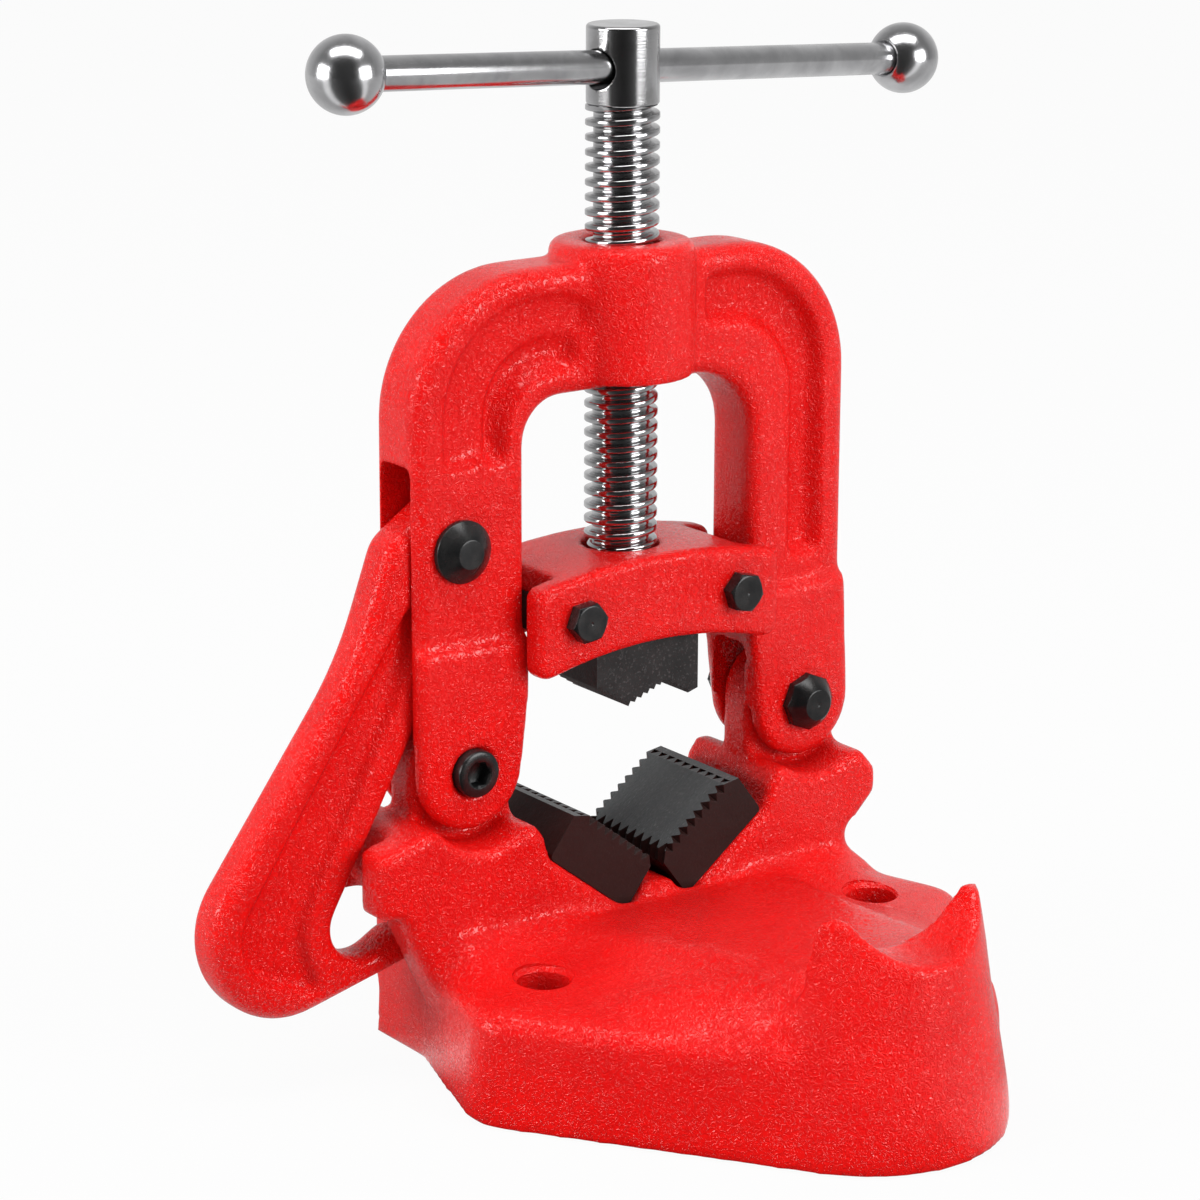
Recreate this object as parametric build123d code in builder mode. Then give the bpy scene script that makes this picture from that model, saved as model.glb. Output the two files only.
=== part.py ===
from build123d import *
import os
from math import acos, atan2, cos, degrees, radians, sin, sqrt, tan

# Yoke pipe vise: a cast base with two toothed lower jaws, a hinged yoke held shut
# by a swinging hook, and a screw that drives the upper jaw in its holder.
# Millimetres. X to the right, Y to the back, Z up. The origin lies on the bench
# face, under the axis of the screw.

os.makedirs("parts", exist_ok=True)

# Clearances between pieces
running_gap = 0.05
bolt_gap = 0.2
lug_gap = 0.5
lug_end_gap = 0.4
pocket_gap = 0.2

# Main screw
screw_d = 20.0
screw_head_d = 19.6
screw_head_top = 274.3
screw_head_h = 20.8
screw_head_edge = 1.2
screw_end_d = 18.6
journal_d = 14.0
ring_groove_d = 12.0
ring_t = 1.4
screw_tip = 2.6
thrust_washer_t = 1.5
ring_washer_d = 22.0

# Handle bar and its balls
handle_drop = 11.3
handle_hole_d = 11.0
bar_d = 9.0
bar_offset = 8.3
bar_yaw = 8.8
bar_tilt = 3.9
ball_d = 20.0
ball_pitch = 210.0
ball_bore_depth = 8.0

# Yoke
pin_x = 56.4
pin_z = 81.3
leg_in = 18.8
leg_left_out = 16.8
leg_right_out = 14.6
cheek_r = 16.4
cheek_step = 2.0
cheek_top = 117.0
cheek_ledge = 3.8
cheek_edge_r = 2.4
yoke_top = 213.8
yoke_corner_r = 38.0
yoke_half = 10.0
yoke_edge_r = 4.0
opening_top = 179.0
opening_left_r = 12.0
opening_right_r = 18.0
boss_r = 19.8
boss_rise = 3.6
boss_lift = 1.5
boss_edge_r = 3.0
rim_w = 8.4
rim_top_w = 6.5
rim_corner_r = 31.0
groove_end_r = 3.4
groove_boss_gap = 1.0
wide_groove_in = 15.0
wide_groove_up = 19.0
wide_groove_r = 22.0
wide_groove_depth = 2.6
wide_groove_draft = 45.0
wide_groove_foot = 16.0
near_groove_in = 6.0
near_groove_up = 6.5
near_groove_r = 15.0
near_groove_w = 8.4
near_groove_depth = 4.4
near_groove_draft = 32.0
right_groove_in = 13.0
right_groove_up = 13.5
right_groove_r = 22.0
right_groove_depth = 4.4
right_groove_draft = 34.0
right_groove_foot = 56.0
clevis_gap = 0.8
clevis_clear = 2.0
slot_room = 9.4
slot_wall = 3.6

# Pins of the yoke
hinge_pin_d = 10.0
hinge_head_d = 16.4
hinge_head_h = 6.0
hinge_head_rim = 2.0
hinge_head_flat_d = 8.0
hinge_head_sides = 8
hinge_nut_af = 17.0
hinge_nut_h = 8.0
latch_x = 59.0
latch_z = 142.0
latch_pin_d = 10.0
latch_head_d = 17.0
latch_head_h = 5.0
latch_head_rim = 1.6
latch_head_flat_d = 7.5
latch_groove_d = 8.4
cross_bolt_d = 8.0
cross_head_d = 13.0
cross_head_h = 5.0
cross_head_out = 2.5
cross_socket_af = 6.0
cross_socket_depth = 3.0
cross_nut_af = 13.0
cross_nut_h = 6.5
washer_t = 1.6
washer_over = 4.0
clip_t = 1.2
clip_over = 2.6
clip_gap = 5.0
end_out = 1.5

# Latch hook
hook_t = 13.0
hook_side_gap = 0.3
hook_eye_r = 13.6
brow_x = 70.6
brow_z = 139.4
brow_r = 9.2
back_x = 176.5
back_z = 160.3
back_r = 97.5
heel_x = 110.0
heel_z = 45.5
heel_r = 24.0
throat_x = 87.9
throat_z = 43.2
throat_r = 9.2
toe_x = 75.8
toe_z = 34.2
toe_r = 4.7
hook_edge_r = 3.5
hook_rim_w = 8.4
hook_web_drop = 3.0
hook_web_draft = 30.0
web_top_x = 70.5
web_top_z = 124.0
web_top_r = 4.6
web_toe_x = 105.5
web_toe_z = 30.6
web_toe_r = 3.4

# Jaw holder
holder_top = 134.0
holder_end_top = 129.4
holder_half_depth = 19.5
holder_web_bottom = 124.0
holder_end_bottom = 103.5
holder_mid_bottom = 109.8
holder_corner_r = 4.0
holder_edge_r = 2.4
holder_lug_reach = 3.0
holder_bore_d = 21.0
holder_bore_depth = 4.0

# Upper jaw and its bolts
jaw_half_w = 17.2
jaw_half_depth = 13.0
jaw_tongue_bottom = 113.5
jaw_tip_left = (-6.5, 91.0)
jaw_apex = (6.5, 96.0)
jaw_tip_right = (13.8, 91.3)
jaw_left_z = 98.0
jaw_right_z = 92.3
jaw_tooth_depth = 1.0
jaw_tooth_pitch = 2.4
jaw_relief_d = 25.0
jaw_relief_depth = 8.0
jaw_bolt_wall = 4.3
jaw_bolt_z = 120.0
jaw_bolt_d = 6.0
jaw_bolt_af = 10.0
jaw_bolt_head_h = 4.0
jaw_nut_h = 5.0
jaw_tongue_half = 30.6

# Lower jaws
jaw_angle = 37.5
seat_x = 12.4
seat_z = 36.3
block_low = -2.5
block_high = 30.0
block_t = 15.8
block_half = 18.0
grip_low = 0.0
grip_high = 25.5
grip_drop = 2.4
block_corner_r = 1.5
teeth_along = 8
teeth_across = 10
tooth_depth = 2.2
tooth_reach = 2.6
tooth_w = 2.8
jaw_screw_d = 6.0
jaw_screw_head_d = 10.0
jaw_screw_head_h = 6.0
jaw_screw_socket_af = 5.0
jaw_screw_socket_depth = 3.0
jaw_screw_reach = 9.0
jaw_screw_pitch = 20.0
jaw_screw_sink = 30.0
jaw_screw_along = 14.0

# Base casting
flange_h = 32.0
flange_edge_r = 6.0
flange_draft = 3.0
waist_half = 69.0
waist_r = 4.0
waist_blend_r = 10.0
corner_x = 68.5
corner_y = 48.0
corner_r = 14.0
foot_x = 2.0
foot_y = 104.0
foot_r = 39.0
shoulder_half = 20.0
nose_left = 91.0
nose_left_top = 65.5
nose_left_low = 48.0
nose_right = 77.0
nose_right_top = 59.5
nose_right_low = 52.5
nose_right_slope = 5.0
undercut_right = 67.0
undercut_z = 42.5
foot_flare = 6.0
web_x = 80.0
web_z = 37.0
web_lip = 5.0
web_foot_z = 14.0
peak_left = 76.0
peak_z = 69.5
block_edge_r = 2.0
profile_r = 2.0
pocket_half = 8.6
pocket_wall = 68.6
pocket_r = 5.0
pocket_flat_x = 79.5
arm_gap_x = 85.5
arm_gap_z = 57.0
arm_gap_top_x = 79.5
arm_gap_top_z = 71.0
dish_gap = 3.2
shoulder_top = 65.5
seat_corner_x = 38.5
seat_corner_z = 62.0
seat_lip_x = 41.5
seat_relief = 1.0
seat_end_gap = 0.5
land_z = 41.0
ear_half = 6.0
ear_foot_z = 55.0
ear_notch_flare = 1.5
ear_r = 16.0
ridge_rear_half = 38.0
ridge_rear_z = 36.5
ridge_front_half = 21.0
ridge_front_z = 49.0
ridge_skirt = 11.0
rest_root_r = 36.6
rest_root_z = 16.0
rest_rear = 117.0
rest_top = 66.5
rest_saddle_r = 23.0
rest_saddle_z = 52.0
rest_draft = 8.6
rest_rim_r = 1.5
bench_hole_x = 56.0
bench_hole_y = 43.0
bench_hole_d = 14.0
bench_hole_edge = 1.5
core_depth = 18.0
core_w = 22.0
core_l = 34.0
core_r = 5.0
core_points = [(-48.0, 0.0), (48.0, 0.0), (-18.0, -72.0), (18.0, -72.0)]

# Length below which two edges count as the same place
tiny = 0.01

# Places worked out from the sizes above
slot_half = hook_t / 2 + hook_side_gap
clevis_half = ear_half + clevis_gap
clevis_top = pin_z + ear_r + clevis_clear
cheek_half = yoke_half + cheek_step
opening_half = pin_x - leg_in
yoke_left = pin_x + leg_left_out
yoke_right = pin_x + leg_right_out
boss_top = yoke_top + boss_rise
slot_top = latch_z + hook_eye_r + slot_room
dish_r = cheek_r + dish_gap
handle_z = screw_head_top - handle_drop
screw_head_z = screw_head_top - screw_head_h
holder_half = opening_half + holder_lug_reach
holder_notch_x = jaw_tongue_half + lug_end_gap
holder_notch_half = cheek_half + lug_gap
jaw_bolt_x = jaw_tongue_half - jaw_bolt_wall
bore_floor = holder_top - holder_bore_depth
screw_foot = bore_floor + thrust_washer_t
ring_z = holder_web_bottom - washer_t - running_gap - ring_t
hinge_at = (pin_x, pin_z)
cross_at = (-pin_x, pin_z)
latch_at = (-latch_x, latch_z)
jaw_bolt_points = [(-jaw_bolt_x, jaw_bolt_z), (jaw_bolt_x, jaw_bolt_z)]
seat_dir = Vector(cos(radians(jaw_angle)), sin(radians(jaw_angle)))
seat_out = Vector(-seat_dir.Y, seat_dir.X)


def front_plane(y):
    """A plane facing the front, with its sketch x along X and y along Z."""
    return Plane(origin=(0, y, 0), x_dir=(1, 0, 0), z_dir=(0, -1, 0))


def seat_point(along, out=0.0):
    """X and Z of a point given along the right-hand jaw seat and out from it."""
    spot = Vector(seat_x, seat_z) + seat_dir * along + seat_out * out
    return (spot.X, spot.Y)


def dish_x(z):
    """Half width, at height z, of the dish in the shoulder under a cheek."""
    return sqrt(dish_r**2 - (pin_z - z) ** 2)


def mirrored(points):
    """The same outline on the other side of the screw axis."""
    return [(-x, z) for x, z in reversed(points)]


def arch_face(left, right, top, left_r, right_r):
    """An upright face from the height of the pins to top, its upper corners round."""
    with BuildSketch() as face:
        with Locations(((right - left) / 2, pin_z)):
            Rectangle(left + right, top - pin_z, align=(Align.CENTER, Align.MIN))
        corners = face.vertices().group_by(Axis.Y)[-1].sort_by(Axis.X)
        fillet(corners[0], left_r)
        fillet(face.vertices().group_by(Axis.Y)[-1].sort_by(Axis.X)[-1], right_r)
    return face.sketch


def belt(circles):
    """Close a line of tangents and arcs around circles, anticlockwise.

    Each circle is (centre x, centre z, radius). A negative radius bends the
    outline inwards around that circle.
    """
    normals = []
    for i, (x1, z1, r1) in enumerate(circles):
        x2, z2, r2 = circles[(i + 1) % len(circles)]
        span = sqrt((x2 - x1) ** 2 + (z2 - z1) ** 2)
        normals.append(atan2(z2 - z1, x2 - x1) - acos((r1 - r2) / span))
    full = radians(360)
    for i, (x, z, r) in enumerate(circles):
        start = normals[i - 1]
        turn = (normals[i] - start) % full
        if r < 0:
            turn = turn - full
        spots = [(x + r * cos(a), z + r * sin(a)) for a in (start, start + turn / 2, start + turn)]
        ThreePointArc(*spots)
        x2, z2, r2 = circles[(i + 1) % len(circles)]
        Line(spots[2], (x2 + r2 * cos(normals[i]), z2 + r2 * sin(normals[i])))


def saw(start, end):
    """Tooth roots and tips along the line from start to end, end included."""
    run = Vector(end[0] - start[0], end[1] - start[1])
    count = max(1, round(run.length / jaw_tooth_pitch))
    inward = Vector(-run.Y, run.X).normalized() * jaw_tooth_depth
    points = []
    for i in range(count):
        root = Vector(*start) + run * ((i + 0.5) / count) + inward
        tip = Vector(*start) + run * ((i + 1) / count)
        points += [(root.X, root.Y), (tip.X, tip.Y)]
    return points


# Base casting: the shoulder block with its V seat, noses and dished tops
groove_foot = seat_point(block_low - seat_relief)
land_rise = (land_z - groove_foot[1]) / seat_dir.X
right_seat = [
    seat_point(block_low - seat_relief, land_rise),
    groove_foot,
    seat_point(block_high + seat_end_gap),
    (seat_corner_x, seat_corner_z),
    (seat_lip_x, shoulder_top),
    (pin_x - dish_x(shoulder_top), shoulder_top),
]
left_peak = (-pin_x - dish_x(peak_z), peak_z)
left_dish = (-pin_x + dish_x(shoulder_top), shoulder_top)
right_dish = (pin_x + dish_x(shoulder_top), shoulder_top)

with BuildPart() as shoulder:
    with BuildSketch(front_plane(0)) as shoulder_profile:
        with BuildLine():
            Polyline(
                left_peak,
                (-peak_left, peak_z),
                (-nose_left, nose_left_top),
                (-nose_left, nose_left_low),
                (-web_x - web_lip, nose_left_low),
                (-web_x, web_z),
                (-waist_half, web_foot_z),
                (undercut_right, web_foot_z),
                (undercut_right, undercut_z),
                (nose_right, nose_right_low),
                (nose_right, nose_right_top),
                (nose_right - nose_right_slope, shoulder_top),
                right_dish,
            )
            ThreePointArc(right_dish, (pin_x, pin_z - dish_r), right_seat[-1])
            Polyline(*reversed(right_seat), *reversed(mirrored(right_seat)))
            ThreePointArc(left_dish, (-pin_x, pin_z - dish_r), left_peak)
        make_face()
        outer = shoulder_profile.vertices().filter_by(lambda v: abs(v.X) > pin_x and v.Y > undercut_z)
        fillet(outer, profile_r)
    extrude(amount=shoulder_half, both=True)
    end_faces = shoulder.faces().filter_by(Axis.Y).group_by(Axis.Y)
    fillet((end_faces[0] + end_faces[-1]).edges(), block_edge_r)
    with BuildSketch(front_plane(0)) as hook_pocket:
        with BuildLine():
            Polyline(
                (-pocket_wall, web_foot_z),
                (-pocket_wall, nose_left_low),
                (-pocket_flat_x, nose_left_low),
                (-arm_gap_x, arm_gap_z),
                (-arm_gap_top_x, arm_gap_top_z),
                (-nose_left - web_lip, arm_gap_top_z),
                (-nose_left - web_lip, web_foot_z),
                close=True,
            )
        make_face()
        fillet(hook_pocket.vertices().group_by(Axis.X)[-1].sort_by(Axis.Y)[-1], pocket_r)
    extrude(amount=pocket_half, both=True, mode=Mode.SUBTRACT)
    with BuildSketch(front_plane(0)):
        with Locations((-pocket_wall, web_foot_z)):
            Rectangle(nose_left, nose_left_low - web_foot_z, align=(Align.MAX, Align.MIN))
    extrude(amount=-2 * shoulder_half, mode=Mode.SUBTRACT)

# Base casting: the pipe rest, a thin horned wall on the front of the foot
rest_h = rest_top - rest_root_z
with BuildPart() as pipe_rest:
    with BuildSketch(Plane.XY.offset(rest_root_z)):
        with Locations((foot_x, -foot_y)):
            Circle(rest_root_r)
        with Locations((foot_x, -rest_rear + rest_h * tan(radians(rest_draft)))):
            Rectangle(2 * foot_r, 2 * foot_r, align=(Align.CENTER, Align.MAX), mode=Mode.INTERSECT)
    extrude(amount=rest_h, taper=rest_draft)
    with BuildSketch(front_plane(0)):
        with Locations((foot_x, rest_saddle_z + rest_saddle_r)):
            Circle(rest_saddle_r)
    extrude(amount=foot_y + foot_r, mode=Mode.SUBTRACT)
    rim = pipe_rest.edges().filter_by(lambda e: e.center().Z > rest_saddle_z)
    fillet(rim, rest_rim_r)

# Base casting: the sloped foot of the shoulder block, clear of the V seat
with BuildPart() as block_foot:
    with BuildSketch(Plane.XY.offset(flange_h)):
        with Locations((-pocket_wall, -shoulder_half - foot_flare)):
            Rectangle(
                pocket_wall + undercut_right + foot_flare,
                2 * shoulder_half,
                align=(Align.MIN, Align.MIN),
            )
    extrude(amount=foot_flare, taper=45)
    with BuildSketch(Plane.XY.offset(flange_h)):
        Rectangle(2 * seat_lip_x, 2 * shoulder_half)
    extrude(amount=foot_flare, mode=Mode.SUBTRACT)

# Base casting: the flange, joined with the blocks above and the ears
with BuildPart() as base_casting:
    with BuildSketch() as flange_plan:
        with Locations((-corner_x, -corner_y), (corner_x, -corner_y)):
            Circle(corner_r)
        with Locations((foot_x, -foot_y)):
            Circle(foot_r)
        with Locations((-waist_half + waist_r, -waist_r), (waist_half - waist_r, -waist_r)):
            Circle(waist_r)
        make_hull()
        with Locations((0, -shoulder_half / 2)):
            Rectangle(2 * waist_half, 3 * shoulder_half)
        waists = flange_plan.vertices().filter_by(lambda v: -2 * waist_r < v.Y < 0)
        fillet(waists, waist_blend_r)
    extrude(amount=flange_h, taper=flange_draft)
    fillet(base_casting.faces().sort_by(Axis.Z)[-1].outer_wire().edges(), flange_edge_r)
    add(shoulder.part)
    add(pipe_rest.part)
    add(block_foot.part)
    for y, half, top in [
        (-shoulder_half, ridge_rear_half, ridge_rear_z),
        (-rest_rear, ridge_front_half, ridge_front_z),
    ]:
        with BuildSketch(front_plane(y)):
            with BuildLine():
                Polyline(
                    (foot_x - half, top),
                    (foot_x - half - ridge_skirt, flange_h - flange_edge_r),
                    (foot_x + half + ridge_skirt, flange_h - flange_edge_r),
                    (foot_x + half, top),
                    close=True,
                )
            make_face()
    loft()
    with BuildSketch(front_plane(0)):
        with Locations(hinge_at, cross_at):
            Circle(ear_r)
            Rectangle(2 * ear_r, pin_z - ear_foot_z, align=(Align.CENTER, Align.MAX))
    extrude(amount=ear_half, both=True)
    with BuildSketch(front_plane(0)):
        with Locations(hinge_at):
            Circle(hinge_pin_d / 2 + running_gap)
        notch_half = cross_bolt_d / 2 + bolt_gap
        with Locations(cross_at):
            Circle(notch_half)
        with BuildLine():
            Polyline(
                (-pin_x - notch_half, pin_z),
                (-pin_x + notch_half, pin_z),
                (-pin_x + notch_half + ear_notch_flare, pin_z + ear_r),
                (-pin_x - notch_half - ear_notch_flare, pin_z + ear_r),
                close=True,
            )
        make_face()
    extrude(amount=ear_half, both=True, mode=Mode.SUBTRACT)
    with BuildSketch():
        with Locations((-bench_hole_x, -bench_hole_y), (bench_hole_x, -bench_hole_y)):
            Circle(bench_hole_d / 2)
    extrude(amount=rest_top, mode=Mode.SUBTRACT)
    hole_edges = base_casting.edges().filter_by(GeomType.CIRCLE)
    hole_edges = hole_edges.filter_by(lambda e: abs(e.radius - bench_hole_d / 2) < tiny)
    fillet(hole_edges.group_by(Axis.Z)[-1], bench_hole_edge)
    with BuildSketch() as cores:
        with Locations(*core_points):
            RectangleRounded(core_w, core_l, core_r)
    extrude(amount=core_depth, mode=Mode.SUBTRACT)
    screw_x, screw_seat_z = seat_point(jaw_screw_along)
    half_pitch = jaw_screw_pitch / 2
    screw_places = [(side * screw_x, y) for side in (-1, 1) for y in (-half_pitch, half_pitch)]
    with BuildSketch():
        with Locations(*screw_places):
            Circle(jaw_screw_d / 2 + bolt_gap)
    extrude(amount=shoulder_top, mode=Mode.SUBTRACT)
    with BuildSketch():
        with Locations(*screw_places):
            Circle(jaw_screw_head_d / 2 + 2 * bolt_gap)
    extrude(amount=jaw_screw_sink, mode=Mode.SUBTRACT)

base_casting.part.label = "base_casting"
export_step(base_casting.part, "parts/base_casting.step")

# Lower jaws: one toothed block, laid flat, then set on each side of the V seat
cut_length = sqrt(tooth_reach**2 + tooth_depth**2)
cut_rise = tooth_depth * tooth_reach / cut_length
with BuildPart() as tooth_gap:
    gap_plane = Plane((0, 0, -tooth_depth), x_dir=(0, 1, 0), z_dir=(tooth_reach, 0, tooth_depth))
    with BuildSketch(gap_plane):
        with BuildLine():
            Polyline((0, 0), (tooth_w, 2 * cut_rise), (-tooth_w, 2 * cut_rise), close=True)
        make_face()
    extrude(amount=1.5 * cut_length, both=True)

with BuildPart() as jaw_block:
    with BuildSketch(front_plane(0)) as block_profile:
        with BuildLine():
            Polyline(
                (block_low, 0),
                (block_high, 0),
                (block_high, block_t - grip_drop),
                (grip_high, block_t),
                (grip_low, block_t),
                (block_low, block_t - grip_drop),
                close=True,
            )
        make_face()
        fillet(block_profile.vertices().group_by(Axis.Y)[0], block_corner_r)
    extrude(amount=block_half, both=True)
    along = (grip_high - grip_low) / teeth_along
    across = 2 * block_half / teeth_across
    gaps = []
    for i in range(teeth_along):
        x = grip_low + (i + 0.5) * along
        gaps.append(Location((x, -block_half, block_t), (0, 0, 90)))
        gaps.append(Location((x, block_half, block_t), (0, 0, -90)))
    notches = []
    for i in range(teeth_across):
        y = (i + 0.5) * across - block_half
        gaps.append(Location((grip_low, y, block_t), (0, 0, 0)))
        notches.append((grip_high, y))
    with Locations(*gaps):
        add(tooth_gap.part, mode=Mode.SUBTRACT)
    with BuildSketch(Plane.XY.offset(block_t)):
        with Locations(*notches):
            Triangle(a=tooth_w, b=tooth_reach, c=tooth_reach, align=(Align.CENTER, Align.MAX), rotation=90)
    extrude(amount=-tooth_depth, mode=Mode.SUBTRACT)

for side, name in [(-1, "lower_jaw_left"), (1, "lower_jaw_right")]:
    seat = Plane(
        (side * seat_x, 0, seat_z),
        x_dir=(side * seat_dir.X, 0, seat_dir.Y),
        z_dir=(side * seat_out.X, 0, seat_out.Y),
    )
    with BuildPart() as lower_jaw:
        with Locations(seat.location):
            add(jaw_block.part)
        with BuildSketch():
            with Locations((side * screw_x, -half_pitch), (side * screw_x, half_pitch)):
                Circle(jaw_screw_d / 2)
        extrude(amount=screw_seat_z + jaw_screw_reach, mode=Mode.SUBTRACT)
    lower_jaw.part.label = name
    export_step(lower_jaw.part, f"parts/{name}.step")

# Four cap screws from below hold the lower jaws
with BuildPart() as lower_jaw_screws:
    with BuildSketch(Plane.XY.offset(jaw_screw_sink - jaw_screw_head_h)):
        with Locations(*screw_places):
            Circle(jaw_screw_head_d / 2)
    extrude(amount=jaw_screw_head_h)
    with BuildSketch(Plane.XY.offset(jaw_screw_sink - jaw_screw_head_h)):
        with Locations(*screw_places):
            RegularPolygon(jaw_screw_socket_af / 2, 6, major_radius=False)
    extrude(amount=jaw_screw_socket_depth, mode=Mode.SUBTRACT)
    with BuildSketch(Plane.XY.offset(jaw_screw_sink)):
        with Locations(*screw_places):
            Circle(jaw_screw_d / 2)
    extrude(amount=screw_seat_z + jaw_screw_reach - jaw_screw_sink)

lower_jaw_screws.part.label = "lower_jaw_screws"
export_step(lower_jaw_screws.part, "parts/lower_jaw_screws.step")

# Yoke: lower cheeks, then the arch, the boss, the grooves, slots and bores
with BuildPart() as cheeks:
    for side, leg_out in [(-1, leg_left_out), (1, leg_right_out)]:
        with BuildSketch(front_plane(0)):
            with Locations((side * pin_x, pin_z)):
                Circle(cheek_r)
            with Locations((side * (pin_x + (leg_out - leg_in) / 2), cheek_top)):
                Rectangle(leg_in + leg_out, cheek_top - clevis_top, align=(Align.CENTER, Align.MAX))
            make_hull()
        extrude(amount=cheek_half, both=True)
    ledges = cheeks.edges().group_by(Axis.Z)[-1].filter_by(Axis.X)
    chamfer(ledges, cheek_ledge, cheek_step)
    cheek_faces = cheeks.faces().filter_by(Axis.Y).group_by(Axis.Y)
    fillet((cheek_faces[0] + cheek_faces[-1]).edges(), cheek_edge_r)

arch_outer = arch_face(yoke_left, yoke_right, yoke_top, yoke_corner_r, yoke_corner_r)
arch_inner = arch_face(opening_half, opening_half, opening_top, opening_left_r, opening_right_r)
rim_line = arch_face(yoke_left - rim_w, yoke_right - rim_w, yoke_top - rim_top_w, rim_corner_r, rim_corner_r)
groove_stop = boss_r + groove_boss_gap


def groove_inner(inward, upward, corner):
    """The inner boundary of a groove, set off from the opening."""
    side = opening_half + inward
    return arch_face(side, side, opening_top + upward, corner, corner)


# Each groove: outer and inner outline, side, foot, depth and draft
near_outer = groove_inner(
    near_groove_in + near_groove_w, near_groove_up + near_groove_w + groove_end_r, wide_groove_r
)
left_foot = opening_top - wide_groove_foot
grooves = [
    (
        rim_line,
        groove_inner(wide_groove_in, wide_groove_up, wide_groove_r),
        -1,
        left_foot,
        wide_groove_depth,
        wide_groove_draft,
    ),
    (
        near_outer,
        groove_inner(near_groove_in, near_groove_up, near_groove_r),
        -1,
        left_foot,
        near_groove_depth,
        near_groove_draft,
    ),
    (
        rim_line,
        groove_inner(right_groove_in, right_groove_up, right_groove_r),
        1,
        opening_top - right_groove_foot,
        right_groove_depth,
        right_groove_draft,
    ),
]

with BuildPart() as yoke:
    with BuildSketch(front_plane(0)):
        add(arch_outer)
        add(arch_inner, mode=Mode.SUBTRACT)
    extrude(amount=yoke_half, both=True)
    arch_faces = yoke.faces().filter_by(Axis.Y).group_by(Axis.Y)
    fillet((arch_faces[0] + arch_faces[-1]).edges(), yoke_edge_r)
    for outline, island, side, foot, depth, draft in grooves:
        for facing in (-1, 1):
            with BuildSketch(front_plane(facing * yoke_half)) as groove:
                add(outline)
                add(island, mode=Mode.SUBTRACT)
                with Locations((side * (groove_stop + yoke_left), foot)):
                    Rectangle(
                        2 * yoke_left, yoke_top, align=(Align.CENTER, Align.MIN), mode=Mode.INTERSECT
                    )
                ends = groove.vertices().filter_by(
                    lambda v: min(abs(abs(v.X) - groove_stop), abs(v.Y - foot)) < tiny
                )
                fillet(ends, groove_end_r)
            extrude(amount=facing * depth, taper=draft, mode=Mode.SUBTRACT)
    with BuildSketch(Plane.XY.offset(opening_top + boss_lift)):
        Circle(boss_r)
    extrude(amount=boss_top - opening_top - boss_lift)
    boss_edges = yoke.edges().filter_by(GeomType.CIRCLE).filter_by(lambda e: abs(e.radius - boss_r) < tiny)
    fillet(boss_edges.group_by(Axis.Z)[-1], boss_edge_r)
    add(cheeks.part)
    clevis_l = 2 * (yoke_left - opening_half + slot_wall)
    with BuildSketch(Plane.XY.offset(pin_z - 2 * cheek_r)):
        with Locations((-yoke_left, 0)):
            Rectangle(2 * (yoke_left - opening_half - slot_wall), 2 * slot_half)
    extrude(amount=slot_top - pin_z + 2 * cheek_r, mode=Mode.SUBTRACT)
    with BuildSketch(Plane.XY.offset(pin_z - 2 * cheek_r)):
        with Locations((-pin_x, 0), (pin_x, 0)):
            Rectangle(clevis_l, 2 * clevis_half)
    extrude(amount=clevis_top - pin_z + 2 * cheek_r, mode=Mode.SUBTRACT)
    with BuildSketch(front_plane(0)):
        with Locations(hinge_at):
            Circle(hinge_pin_d / 2 + running_gap)
        with Locations(cross_at):
            Circle(cross_bolt_d / 2 + bolt_gap)
        with Locations(latch_at):
            Circle(latch_pin_d / 2 + running_gap)
    extrude(amount=2 * cheek_half, both=True, mode=Mode.SUBTRACT)
    with BuildSketch(front_plane(-cheek_half)):
        with Locations(cross_at):
            Circle(cross_head_d / 2 + bolt_gap)
    extrude(amount=cross_head_out - cross_head_h, mode=Mode.SUBTRACT)
    with BuildSketch():
        Circle(screw_d / 2 + running_gap)
    extrude(amount=2 * boss_top, mode=Mode.SUBTRACT)

yoke.part.label = "yoke"
export_step(yoke.part, "parts/yoke.step")

# Hinge pin with an eight-sided head, its washer and nut
hinge_end = cheek_half + washer_t + hinge_nut_h + end_out
hinge_cone = hinge_head_h - hinge_head_rim
cone_run = (hinge_head_d - hinge_head_flat_d) / 2
with BuildPart() as hinge_pin:
    with BuildSketch(front_plane(-cheek_half)):
        with Locations(hinge_at):
            RegularPolygon(hinge_head_d / 2, hinge_head_sides)
    extrude(amount=hinge_head_rim)
    with BuildSketch(front_plane(-cheek_half - hinge_head_rim)):
        with Locations(hinge_at):
            RegularPolygon(hinge_head_d / 2, hinge_head_sides)
    extrude(amount=hinge_cone, taper=degrees(atan2(cone_run, hinge_cone)))
    with BuildSketch(front_plane(-cheek_half)):
        with Locations(hinge_at):
            Circle(hinge_pin_d / 2)
    extrude(amount=-cheek_half - hinge_end)

hinge_pin.part.label = "hinge_pin"
export_step(hinge_pin.part, "parts/hinge_pin.step")

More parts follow.
